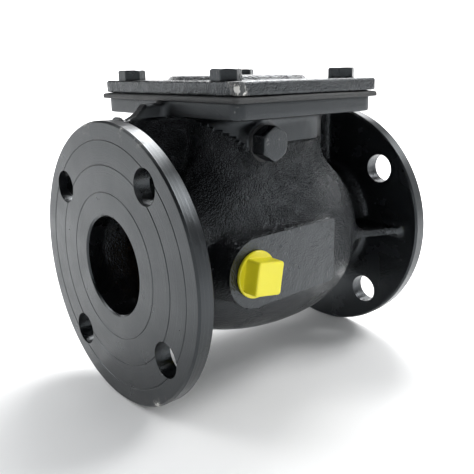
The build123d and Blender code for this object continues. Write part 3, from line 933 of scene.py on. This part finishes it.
class VALVE_OT_body(bpy.types.Operator):
    """Cast body: two pipe flanges, bowl, neck, top flange, pads, webs and gussets"""
    bl_idname = "valve.body"
    bl_label = "Body"

    def flange_cutter(self, s, name, inlet):
        """What is turned off a pipe flange: its edge, its face with the rings, the bore's mouth."""
        wide, out, past = flange_radius + 6 * MM, 6 * MM, 0.4 * MM
        edge, back = s.flange_edge, s.flange_thickness
        profile = [(-out, 0), (-out, wide), (back + past, wide),
                   (back + past, flange_radius - edge - past), (back - edge, flange_radius),
                   (edge, flange_radius), (0, flange_radius - edge)]
        for groove in sorted(s.grooves, reverse=True):
            half = s.groove_width / 2
            profile += [(0, groove + half), (s.groove_depth, groove + half * 0.3),
                        (s.groove_depth, groove - half * 0.3), (0, groove - half)]
        profile += [(0, s.bore + s.bore_chamfer), (s.bore_chamfer, s.bore), (s.bore_chamfer, 0)]
        if not inlet:
            profile = [(length - along, radius) for along, radius in profile]
        return turned(name, profile, segments=256)

    def face_cutters(self, s):
        """What comes off the top flange and the two side pads."""
        beyond = 0.09
        cutters = [block("top_cut", (-0.1, -0.2, joint_height),
                         (length + 0.1, 0.2, joint_height + 0.05))]
        for side in (-1, 1):
            near, far = sorted((side * s.pad_reach, side * beyond))
            cutters.append(block(f"pad_cut_{side}", (mid - 76 * MM, near, -30 * MM),
                                 (mid + 30 * MM, far, 30 * MM)))
        return cutters

    def holes(self, s):
        """The holes through both pipe flanges."""
        rods = []
        for mount, turn, start in (("inlet_flange", s.inlet_turn, 0),
                                   ("outlet_flange", s.outlet_turn, length - s.flange_thickness)):
            dims = mounts[mount]["dims"]
            circle, count = dims["pcd_mm"] * MM / 2, int(dims["count"])
            for n in range(count):
                angle = turn + n * 2 * math.pi / count
                place = along_x(start, circle * math.cos(angle), circle * math.sin(angle))
                rods.append(rod(f"{mount}_{n}", dims["hole_r_mm"] * MM, -3 * MM,
                                s.flange_thickness + 3 * MM, place, 72))
        return rods

    def bores(self, s, bolt_radius):
        """Tapped holes, the side port, the hinge pin's bore and the seat ring's pocket."""
        cutters = []
        for n in range(1, 5):
            low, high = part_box(f"cover_bolt_{n}")
            centre = (low + high) / 2
            cutters.append(rod(f"tapped_{n}", bolt_radius, -s.top_thickness - CLEAR, CLEAR,
                               along_z(centre.x, centre.y, joint_height)))
        cutters.append(rod("port", s.port_radius, 0, s.pad_reach, along_y(
            mid + s.port_x, 0, -s.pad_reach - CLEAR), 96))
        near_low, near_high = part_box("hinge_bush_near")
        far_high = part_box("hinge_bush_far")[1]
        washer_low, washer_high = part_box("pin_plug_washer")
        washer_rim = 1.9 * MM
        tapped = (washer_high.x - washer_low.x) / 2 - washer_rim
        bush = (near_high.z - near_low.z) / 2
        profile = [(-s.boss_reach - CLEAR, 0), (-s.boss_reach - CLEAR, tapped),
                   (near_low.y - CLEAR, tapped), (near_low.y - CLEAR, bush),
                   (far_high.y, bush), (far_high.y, 0)]
        cutters.append(turned("hinge_bore", profile, along_y(pin_centre.x, pin_centre.z, 0), 72))
        cutters.append(rod("seat_pocket", s.seat_recess, -11 * MM, MM, on_seat(), 160))
        return cutters

    def execute(self, context):
        s, f = context.scene.valve_body, context.scene.valve_fittings

        def field(x, y, z):
            return less(body_outside(s, x, y, z), waterway(s, x, y, z), 1.5 * MM)

        def grain(x, y, z):
            return casting_grain(s, x, y, z)

        margin = 3 * MM
        reach = flange_radius + margin
        obj = surface("valve_body_casting", field, (-margin, -reach, -reach),
                      (length + margin, reach, joint_height + margin), s.step)
        shade(obj)
        roughen(obj, context.scene.valve_finishes.grain, grain, 3.1)
        machine(obj, [self.flange_cutter(s, "inlet_cut", True),
                      self.flange_cutter(s, "outlet_cut", False)] + self.face_cutters(s)
                + self.holes(s) + self.bores(s, f.bolt_radius + 0.05 * MM))
        shade(obj)
        x, y, z = points_of(obj.data).T
        from_face, radius = mid - np.abs(x - mid), np.hypot(y, z)
        machined = ((from_face < 0.5 * MM) | (radius > flange_radius - MM)
                    | (z > joint_height - 0.1 * MM))
        turned_grain = 0.02
        paint(obj, "grain", np.where(machined, turned_grain, grain(x, y, z)))
        paint(obj, "machined", machined.astype(float))
        paint(obj, "wear", casting_wear(s, x, y, z))
        finish_piece(obj, enamel("cast_enamel", marks=0.07), "valve_body", "black_enamel", "body")
        return {"FINISHED"}


class VALVE_OT_cover(bpy.types.Operator):
    """Top cover plate with its low round pad"""
    bl_idname = "valve.cover"
    bl_label = "Cover"

    def execute(self, context):
        f = context.scene.valve_fittings
        half_x, half_y = (cover_high.x - cover_low.x) / 2, (cover_high.y - cover_low.y) / 2
        centre = (cover_low + cover_high) / 2
        bottom, top = cover_low.z, cover_high.z - f.cover_pad_height
        count = 432                  # points round each ring
        steps = [(3 * MM, bottom), (1.2 * MM, bottom), (0.4 * MM, bottom + 0.25 * MM),
                 (0.1 * MM, bottom + 0.9 * MM)]
        steps += [(0.1 * MM, height) for height in np.linspace(bottom + 2 * MM, top - 1.8 * MM, 4)]
        steps += [(0.25 * MM, top - 0.9 * MM), (0.7 * MM, top - 0.3 * MM), (1.5 * MM, top),
                  (3 * MM, top)]
        rings = [ring(np.zeros(count), np.zeros(count), bottom)]
        for inset, height in steps:
            flat = rectangle(half_x - inset, half_y - inset, max(f.cover_corner - inset, 0.8 * MM),
                             count)
            rings.append(np.column_stack([flat, np.full(count, height)]))
        angles = np.arctan2(flat[:, 1], flat[:, 0])
        foot = ring(f.cover_pad + 1.6 * MM, angles, top)
        for share in np.linspace(0, 1, 14)[1:]:
            rings.append(rings[len(steps)] * (1 - share) + foot * share)
        rise = f.cover_pad_height
        pad_edge = ((-0.7, 0.1), (-0.1, 0.3), (0.3, 0.5), (1.6, 0.88), (2.3, 0.98), (3.2, 1))
        for inset, height in pad_edge:
            rings.append(ring(f.cover_pad - inset * MM, angles, top + height * rise))
        for share in np.linspace(1, 0, 16)[1:]:
            rings.append(ring((f.cover_pad - 3.2 * MM) * share, angles, top + rise))
        obj = skin("top_cover", rings)
        obj.data.transform(Matrix.Translation((centre.x, centre.y, 0)))
        shade(obj)
        roughen(obj, 0.2 * MM, lambda x, y, z: np.clip((z - bottom) / MM, 0, 1), 7.7)
        holes = []
        for n in range(1, 5):
            low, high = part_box(f"cover_bolt_{n}")
            middle = (low + high) / 2
            holes.append(rod(f"cover_hole_{n}", 6.2 * MM, bottom - MM, top + 2 * MM,
                             along_z(middle.x, middle.y, 0)))
        machine(obj, holes)
        shade(obj)
        x, y, z = points_of(obj.data).T
        near = np.hypot(np.abs(x - centre.x) - half_x, np.abs(y - centre.y) - half_y)
        side = np.maximum(np.abs(x - centre.x) - half_x, np.abs(y - centre.y) - half_y)
        wear = 0.45 * np.exp(-near / (6 * MM)) + 0.3 * np.exp(-np.hypot(side, z - top) / (1.2 * MM))
        hit = np.hypot(x - cover_low.x - MM, y - cover_low.y)
        wear += 0.85 * np.exp(-(hit / (8 * MM)) ** 2)
        paint(obj, "grain", np.where(side > -4 * MM, 0.22, 0.35))
        paint(obj, "machined", np.zeros(len(x)))
        paint(obj, "wear", wear)
        finish_piece(obj, enamel("cover_enamel"), "valve_body", "black_enamel", "cover")
        return {"FINISHED"}


class VALVE_OT_gasket(bpy.types.Operator):
    """Thick joint sheet, squeezed out a little unevenly round the cover"""
    bl_idname = "valve.gasket"
    bl_label = "Joint sheet"

    def execute(self, context):
        s, f = context.scene.valve_body, context.scene.valve_fittings
        low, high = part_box("cover_gasket")
        centre, half = (low + high) / 2, (high - low) / 2
        count, thickness = 520, high.z - low.z
        inner = rectangle(s.neck_x - s.wall, s.neck_y - s.wall, s.neck_corner - s.wall, count)
        rings = []
        outer_steps = [(6, 0), (1.2, 0), (0.4, 0.05), (0.06, 0.2), (0, 0.4), (0, 0.62),
                       (0.12, 0.8), (0.5, 0.93), (1.4, 0.98), (7, 1)]
        for inset, share in outer_steps:
            flat = rectangle(half.x - inset * MM, half.y - inset * MM,
                             max(2.8 - inset * 0.4, 1) * MM, count)
            drop = f.gasket_gap * math.sin(math.pi * share / 2) * max(0, 1 - inset / 7)
            height = np.full(count, low.z + share * thickness - drop)
            rings.append(np.column_stack([flat, height]))
        rings.append(np.column_stack([inner, np.full(count, high.z)]))
        rings.append(np.column_stack([inner, np.full(count, low.z)]))
        obj = skin("joint_sheet", rings, loop=True)
        obj.data.transform(Matrix.Translation((centre.x, centre.y, 0)))
        points = points_of(obj.data)
        edge = np.maximum(np.abs(points[:, 0] - centre.x) - half.x,
                          np.abs(points[:, 1] - centre.y) - half.y)
        loose = np.clip(1 + edge / (5 * MM), 0, 1)
        for n, point in enumerate(points):
            wave = noise.noise(Vector(point) * 42)
            ripple = noise.noise(Vector(point) * 150)
            above = (point[2] - low.z) / thickness
            point[2] += loose[n] * above * (0.45 * wave + 0.15 * ripple - 0.15) * MM
            pull = loose[n] * (0.5 * wave - 0.35 + 0.2 * ripple) * MM
            flat = Vector((point[0] - centre.x, point[1] - centre.y)).normalized()
            point[0] += pull * flat.x
            point[1] += pull * flat.y
        obj.data.vertices.foreach_set("co", points.ravel())
        shade(obj, 50)
        finish_piece(obj, joint_sheet(), "valve_body", "gasket_sheet", "cover_gasket")
        return {"FINISHED"}


def bolt_tree():
    """Geometry nodes that set one bolt on each point, as plain mesh with its material."""
    tree = bpy.data.node_groups.new("Bolts On Points", "GeometryNodeTree")
    for label, kind in (("Points", "NodeSocketGeometry"), ("Bolt", "NodeSocketObject"),
                        ("Size", "NodeSocketFloat"), ("Finish", "NodeSocketMaterial")):
        tree.interface.new_socket(label, in_out="INPUT", socket_type=kind)
    tree.interface.new_socket("Bolts", in_out="OUTPUT", socket_type="NodeSocketGeometry")
    given, result = tree.nodes.new("NodeGroupInput"), tree.nodes.new("NodeGroupOutput")
    shape = tree.nodes.new("GeometryNodeObjectInfo")
    tree.links.new(given.outputs["Bolt"], shape.inputs["Object"])
    instances = tree.nodes.new("GeometryNodeInstanceOnPoints")
    tree.links.new(given.outputs["Points"], instances.inputs["Points"])
    tree.links.new(shape.outputs["Geometry"], instances.inputs["Instance"])
    tree.links.new(given.outputs["Size"], instances.inputs["Scale"])
    real = tree.nodes.new("GeometryNodeRealizeInstances")
    tree.links.new(instances.outputs[0], real.inputs[0])
    painted = tree.nodes.new("GeometryNodeSetMaterial")
    tree.links.new(real.outputs[0], painted.inputs["Geometry"])
    tree.links.new(given.outputs["Finish"], painted.inputs["Material"])
    tree.links.new(painted.outputs[0], result.inputs[0])
    return tree


def worn_piece(obj, grain, wear):
    """The three numbers that the enamel reads, the same all over a small piece."""
    count = len(obj.data.vertices)
    paint(obj, "grain", np.full(count, grain))
    paint(obj, "machined", np.zeros(count))
    paint(obj, "wear", wear)


class VALVE_OT_cover_bolts(bpy.types.Operator):
    """Four hexagon-headed bolts that hold the cover"""
    bl_idname = "valve.cover_bolts"
    bl_label = "Cover bolts"

    def execute(self, context):
        f = context.scene.valve_fittings
        names = [f"cover_bolt_{n}" for n in range(1, 5)]
        boxes = [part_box(name) for name in names]
        head = boxes[0][1].z - (cover_high.z - f.cover_pad_height)
        bolt = skin("bolt_shape", bolt_rings(f.bolt_flats, head, f.bolt_radius, f.bolt_length,
                                             f.bolt_pitch))
        shade(bolt, 32)
        x, y, z = points_of(bolt.data).T
        worn_piece(bolt, 0.1, 0.3 * np.exp(-np.abs(z - head) / MM) * (np.hypot(x, y) > 6 * MM))
        seats = [((low.x + high.x) / 2, (low.y + high.y) / 2, high.z - head)
                 for low, high in boxes]
        obj = make_object("cover_bolts", seats, [])
        setter = obj.modifiers.new("Bolts", "NODES")
        setter.node_group = bolt_tree()
        socket = {item.name: item.identifier for item in setter.node_group.interface.items_tree}
        finish = bolt_enamel()
        setter[socket["Bolt"]] = bolt
        setter[socket["Size"]] = 1.0
        setter[socket["Finish"]] = finish
        plain_mesh(obj)
        bpy.data.objects.remove(bolt)
        finish_piece(obj, finish, "valve_body", "black_enamel", *names)
        return {"FINISHED"}


class VALVE_OT_port_plug(bpy.types.Operator):
    """Yellow moulded plug with a square head, in the side port"""
    bl_idname = "valve.port_plug"
    bl_label = "Port plug"

    def execute(self, context):
        s, f = context.scene.valve_body, context.scene.valve_fittings
        low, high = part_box("port_plug")
        angles = np.linspace(0, 2 * math.pi, 192, endpoint=False)
        tall, rim = -s.pad_reach - low.y, f.port_flange_thickness
        shank, wall, half = high.y + s.pad_reach, 2 * MM, f.port_flats / 2
        rim_round, head_round = 0.7 * MM, 1.1 * MM
        square = polar(rectangle(half, half, 1.9 * MM, 800), angles + f.port_turn)
        outer, radius = f.port_flange, s.port_radius - 0.05 * MM
        rings = [ring(0, angles, 0), ring(radius - wall, angles, 0),
                 ring(radius - wall, angles, -shank), ring(radius - 0.4 * MM, angles, -shank),
                 ring(radius, angles, -shank + 0.5 * MM)]
        for n in range(24):
            depth = (0, 0.35, 0.6, 0.35)[n % 4] * MM
            rings.append(ring(radius - depth, angles, -shank + (2 + n / 2) * MM))
        rings += [ring(radius, angles, 0), ring(outer - 0.5 * MM, angles, 0)]
        rings += [ring(outer - (1 - math.cos(a)) * rim_round, angles,
                       0.8 * MM + (rim - 1.5 * MM) * (a > 0) + math.sin(a) * rim_round)
                  for a in np.linspace(0, math.pi / 2, 6)]
        for share, lift in ((0.5, 0), (0.8, 0), (0.93, 0.12), (0.99, 0.5), (1, 1.1)):
            flat = outer * 0.95 * (1 - share) + square * share
            rings.append(ring(np.minimum(flat, outer * 0.95), angles, rim + lift * MM))
        for height in np.linspace(rim + 2 * MM, tall - 2.2 * MM, 8):
            taper = 1 - 0.012 * (height - rim) / (tall - rim)
            rings.append(ring(square * taper, angles, height))
        end = square * 0.988
        for a in np.linspace(0, math.pi / 2, 7):
            inset = (1 - math.cos(a)) * head_round
            rings.append(ring(end - inset, angles, tall - head_round + math.sin(a) * head_round))
        for share in (0.85, 0.6, 0.3, 0):
            sink = 0.25 * MM * (1 - share)
            rings.append(ring((end - head_round) * share, angles, tall - sink))
        obj = skin("port_plug_moulding", rings)
        centre = (low + high) / 2
        obj.data.transform(Matrix.Translation((centre.x, -s.pad_reach, centre.z))
                           @ Matrix.Rotation(math.pi / 2, 4, "X"))
        shade(obj, 34)
        roughen(obj, 0.05 * MM, lambda x, y, z: np.ones(len(x)), 1.3)
        finish_piece(obj, moulded_plastic(), "valve_body", "yellow_plastic", "port_plug")
        return {"FINISHED"}


class VALVE_OT_hinge_plug(bpy.types.Operator):
    """Hexagon plug that closes the hinge pin's bore"""
    bl_idname = "valve.hinge_plug"
    bl_label = "Hinge plug"

    def execute(self, context):
        f = context.scene.valve_fittings
        low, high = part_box("pin_plug")
        washer_low, washer_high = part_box("pin_plug_washer")
        washer_rim = 1.95 * MM
        thread = (washer_high.z - washer_low.z) / 2 - washer_rim
        shank, pitch = high.y - low.y - f.plug_head, 1.5 * MM
        rings = bolt_rings(f.plug_flats, f.plug_head, thread, shank, pitch)
        obj = skin("hinge_plug", rings)
        obj.data.transform(Matrix.Translation((pin_centre.x, low.y + f.plug_head, pin_centre.z))
                           @ Matrix.Rotation(math.pi / 2, 4, "X"))
        shade(obj, 32)
        x, y, z = points_of(obj.data).T
        worn_piece(obj, 0.1, 0.35 * np.exp(-np.abs(y - low.y) / MM))
        finish_piece(obj, bolt_enamel(), "valve_body", "black_enamel", "pin_plug")
        return {"FINISHED"}


class VALVE_OT_seat(bpy.types.Operator):
    """Bronze seat ring, with its raised land and rounded mouth"""
    bl_idname = "valve.seat"
    bl_label = "Seat ring"

    def execute(self, context):
        s = context.scene.valve_body
        bore, land, outer, long = 30.5 * MM, 35 * MM, s.seat_recess, 9 * MM
        profile = [(-long + MM, bore)]
        profile += [(-1.2 * MM + 1.2 * MM * math.sin(a), bore + 1.2 * MM * (1 - math.cos(a)))
                    for a in np.linspace(0, math.pi / 2, 6)]
        profile += [(0, land - 0.3 * MM), (-0.3 * MM, land), (-MM, land), (-MM, outer - 0.4 * MM),
                    (-1.4 * MM, outer), (-long, outer), (-long, bore + MM)]
        obj = turned("seat_ring_bronze", profile, on_seat(), 192)
        shade(obj, 30)
        finish_piece(obj, turned_bronze(), "valve_body", "bronze", "seat_ring")
        return {"FINISHED"}


class VALVE_OT_clapper_arm(bpy.types.Operator):
    """Cast arm: the hub on the pin, a ribbed bar and the eye round the disc's stud"""
    bl_idname = "valve.clapper_arm"
    bl_label = "Clapper arm"

    def execute(self, context):
        low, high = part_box("hinge_arm")
        pin_u, pin_w = seat_frame(pin_centre.x, pin_centre.z)
        start, end, eye, waist = 13.7 * MM, 21.7 * MM, 15 * MM, 11 * MM
        hub, half = 11 * MM, high.y - 0.1 * MM

        def field(x, y, z):
            u, w = seat_frame(x, z)
            ring_part = prism(np.hypot(y, w) - eye, u, start, end, 0.8 * MM)
            taper = eye + (waist - eye) * np.clip(w / pin_w, 0, 1)
            bar = prism(np.maximum(np.abs(y) - taper, np.abs(w - pin_w / 2) - pin_w / 2), u,
                        start, end, 1.2 * MM)
            barrel = prism(np.hypot(u - pin_u, w - pin_w) - hub, y, -half, half, 0.8 * MM)
            form = union(union(ring_part, bar, 4 * MM), barrel, 5 * MM)
            return np.maximum(form, start - 0.05 * MM - u - np.clip(w - 40 * MM, 0, 1) * 2)

        spare = Vector((4 * MM, 4 * MM, 4 * MM))
        obj = surface("clapper_arm_casting", field, low - spare, high + spare, 1.3 * MM)
        shade(obj)
        roughen(obj, 0.14 * MM, lambda x, y, z: np.ones(len(x)), 4.4)
        pin_bore = (pin_high.z - pin_low.z) / 2 + 0.06 * MM
        machine(obj, [rod("pin_bore", pin_bore, -40 * MM, 40 * MM,
                          along_y(pin_centre.x, pin_centre.z, 0), 72),
                      rod("stud_bore", 6.3 * MM, start - 3 * MM, end + 3 * MM, on_seat(), 72)])
        shade(obj)
        finish_piece(obj, bare_iron(), "clapper_arm", "cast_iron", "hinge_arm")
        return {"FINISHED"}


class VALVE_OT_clapper_disc(bpy.types.Operator):
    """Disc with its stud, its bronze face ring and the split pin"""
    bl_idname = "valve.clapper_disc"
    bl_label = "Clapper disc"

    def execute(self, context):
        face, back, groove = 1.3, 9.3, 4.3           # from the seat, in millimetres
        disc = [(face, 0), (face, 28.8), (face + 0.2, 29), (groove, 29), (groove, 36),
                (face + 0.2, 36), (face, 36.2), (face, 37.9), (face + 0.6, 38.5),
                (back - 2, 38.5), (back - 0.6, 37.7), (back, 36.5), (back, 27),
                (back + 0.4, 25.4), (back + 3.4, 13.4), (back + 4, 12), (back + 4, 6.6),
                (back + 4.6, 6)]
        thread_start, stud_end, pitch, root, crest = 24, 36.8, 1.75, 5.2, 6
        for n in range(int((stud_end - thread_start) / pitch * 2)):
            disc.append((thread_start + n * pitch / 2, crest if n % 2 else root))
        disc += [(stud_end - 0.8, root), (stud_end, 4.6), (stud_end, 0)]
        obj = turned("clapper_disc_casting", in_mm(disc), on_seat(), 176)
        shade(obj, 30)
        finish_piece(obj, bare_iron(), "clapper_disc", "cast_iron", "disc")
        face_ring = [(0.3, 29.3), (0.3, 35.7), (0.6, 36), (groove, 36), (groove, 29), (0.6, 29)]
        bronze = turned("clapper_face_ring", in_mm(face_ring), on_seat(), 176)
        shade(bronze, 30)
        finish_piece(bronze, turned_bronze(), "clapper_disc", "bronze", "disc_face_ring")
        pin = self.split_pin()
        finish_piece(pin, turned_steel(), "clapper_disc", "stainless_steel", "cotter_pin")
        return {"FINISHED"}

    def split_pin(self):
        """One wire, doubled: an eye at one side of the nut and two spread ends at the other."""
        wire, level, eye = 0.6 * MM, 32.3 * MM, 2.6 * MM
        leg = in_mm([(12.5, 3.2), (12, 2.2), (11, 0.9), (9.5, 0.6), (0, 0.6), (-10.6, 0.6)])
        turn = np.linspace(0.3, 2 * math.pi - 0.3, 15)
        loop = [(-11.2 * MM - eye + eye * math.cos(a), eye * math.sin(a)) for a in turn]
        path = leg + loop + [(y, -w) for y, w in leg[::-1]]
        curve = bpy.data.curves.new("wire", "CURVE")
        curve.dimensions = "3D"
        curve.bevel_depth, curve.bevel_resolution, curve.use_fill_caps = wire, 4, True
        line = curve.splines.new("POLY")
        line.points.add(len(path) - 1)
        for point, (y, w) in zip(line.points, path):
            point.co = (level, y, w, 1)
        shape = bpy.data.objects.new("wire", curve)
        bpy.context.scene.collection.objects.link(shape)
        graph = bpy.context.evaluated_depsgraph_get()
        mesh = bpy.data.meshes.new_from_object(shape.evaluated_get(graph))
        bpy.data.objects.remove(shape)
        tidy_shell(mesh)
        mesh.transform(on_seat())
        obj = bpy.data.objects.new("split_pin", mesh)
        bpy.context.scene.collection.objects.link(obj)
        shade(obj, 40)
        return obj


class VALVE_OT_inner_fittings(bpy.types.Operator):
    """Finishes for the fittings whose shapes come straight from the frame"""
    bl_idname = "valve.inner_fittings"
    bl_label = "Inner fittings"

    def execute(self, context):
        for name, material in (
                ("hinge_pin", turned_steel()), ("disc_nut", turned_steel()),
                ("disc_washer", turned_steel()), ("hinge_bush_near", turned_bronze()),
                ("hinge_bush_far", turned_bronze()), ("pin_plug_washer", joint_sheet())):
            node = frame["nodes"][name]
            for n in range(max(1, len(node.material_slots))):
                if not node.material_slots:
                    node.data.materials.append(material)
                node.material_slots[n].material = material
        return {"FINISHED"}


# Lamps: name, place, the point each faces, width and power.
VALVE_CENTRE = (mid, 0, 0.01)
LAMPS = (("left", (-1.2, 1.1, 1.2), VALVE_CENTRE, 0.9, 13),
         ("right", (0.85, -0.48, 0.85), VALVE_CENTRE, 0.45, 9),
         ("back", (0.9, 0.55, 1.1), VALVE_CENTRE, 0.8, 24),
         ("backdrop", (0.7, 0.8, 1.4), (1.6, 1.7, 0.2), 1.2, 55))


class VALVE_OT_stage(bpy.types.Operator):
    """Pale floor, soft studio light and the camera"""
    bl_idname = "valve.stage"
    bl_label = "Stage"

    def execute(self, context):
        s = context.scene.valve_stage
        self.floor(s)
        world = bpy.data.worlds.new("studio")
        world.use_nodes = True
        sky = world.node_tree.nodes["Background"]
        sky.inputs["Color"].default_value = (0.95, 0.98, 1, 1)
        sky.inputs["Strength"].default_value = 0.48
        context.scene.world = world
        world.cycles_visibility.glossy = False
        for name, place, target, width, power in LAMPS:
            lamp = bpy.data.lights.new(name, "AREA")
            lamp.size, lamp.energy = width, power
            obj = bpy.data.objects.new(name, lamp)
            obj.location = place
            facing = Vector(target) - Vector(place)
            obj.rotation_euler = facing.to_track_quat("-Z", "Y").to_euler()
            context.scene.collection.objects.link(obj)
        self.camera(context, s)
        context.scene.view_settings.view_transform = "Standard"
        return {"FINISHED"}

    def floor(self, s):
        """A floor that rises in a smooth curve all round."""
        curve = [(math.sin(a), 1 - math.cos(a)) for a in np.linspace(0, math.pi / 2, 13)]
        rise, angles = 0.9, np.linspace(0, 2 * math.pi, 96, endpoint=False)
        radii = [0.001, 0.2, 0.6, s.sweep - rise]
        rings = [ring(r, angles, 0) for r in radii]
        rings += [ring(s.sweep - rise + rise * a, angles, rise * b) for a, b in curve[1:]]
        count = len(angles)
        faces = []
        here, ahead = np.arange(count), np.roll(np.arange(count), -1)
        for n in range(len(rings) - 1):
            a, b = n * count, (n + 1) * count
            faces += np.stack([a + here, b + here, b + ahead, a + ahead], axis=1).tolist()
        faces.append(here.tolist())
        points = np.concatenate(rings) + np.array([mid, 0, body_low.z])
        floor = make_object("floor", points, faces)
        material = bpy.data.materials.new("pale_floor")
        material.use_nodes = True
        shader = material.node_tree.nodes["Principled BSDF"]
        shader.inputs["Base Color"].default_value = (0.9, 0.9, 0.9, 1)
        shader.inputs["Roughness"].default_value = 0.9
        shader.inputs["Specular IOR Level"].default_value = 0.0
        floor.data.materials.append(material)
        floor.data.polygons.foreach_set("use_smooth", [True] * len(floor.data.polygons))

    def camera(self, context, s):
        cy, sy, cp, sp = math.cos(s.yaw), math.sin(s.yaw), math.cos(s.pitch), math.sin(s.pitch)
        view = Vector((sy * cp, cy * cp, -sp))
        right = Vector((cy, -sy, 0))
        down = view.cross(right)
        tilted = math.cos(s.roll) * right + math.sin(s.roll) * down
        below = math.cos(s.roll) * down - math.sin(s.roll) * right
        turn = Matrix((tilted, -below, -view)).transposed().to_4x4()
        lens = bpy.data.cameras.new("camera")
        lens.lens, lens.sensor_width = s.lens, 36
        lens.shift_x, lens.shift_y = s.shift
        lens.clip_start = 0.01
        eye = bpy.data.objects.new("camera", lens)
        eye.matrix_world = Matrix.Translation(s.eye) @ turn
        context.scene.collection.objects.link(eye)
        context.scene.camera = eye


PIECES = (VALVE_OT_body, VALVE_OT_cover, VALVE_OT_gasket, VALVE_OT_cover_bolts,
          VALVE_OT_port_plug, VALVE_OT_hinge_plug, VALVE_OT_seat, VALVE_OT_clapper_arm,
          VALVE_OT_clapper_disc, VALVE_OT_inner_fittings, VALVE_OT_stage)


class VALVE_PT_pieces(bpy.types.Panel):
    """The valve's pieces, in the order in which they are built"""
    bl_label = "Swing Check Valve"
    bl_idname = "VALVE_PT_pieces"
    bl_space_type = "VIEW_3D"
    bl_region_type = "UI"
    bl_category = "Valve"

    def draw(self, context):
        column = self.layout.column(align=True)
        for piece in PIECES:
            column.operator(piece.bl_idname)


SETTINGS = {"valve_body": BodySizes, "valve_fittings": FittingSizes, "valve_finishes": Finishes,
            "valve_stage": StageSettings}


def register():
    for name, settings in SETTINGS.items():
        bpy.utils.register_class(settings)
        setattr(bpy.types.Scene, name, PointerProperty(type=settings))
    for piece in PIECES + (VALVE_PT_pieces,):
        bpy.utils.register_class(piece)


def unregister():
    for piece in (VALVE_PT_pieces,) + PIECES[::-1]:
        bpy.utils.unregister_class(piece)
    for name, settings in SETTINGS.items():
        delattr(bpy.types.Scene, name)
        bpy.utils.unregister_class(settings)


def main():
    register()
    for piece in PIECES:
        operator = getattr(bpy.ops.valve, piece.bl_idname.split(".")[1])
        operator()


if __name__ == "__main__":
    main()
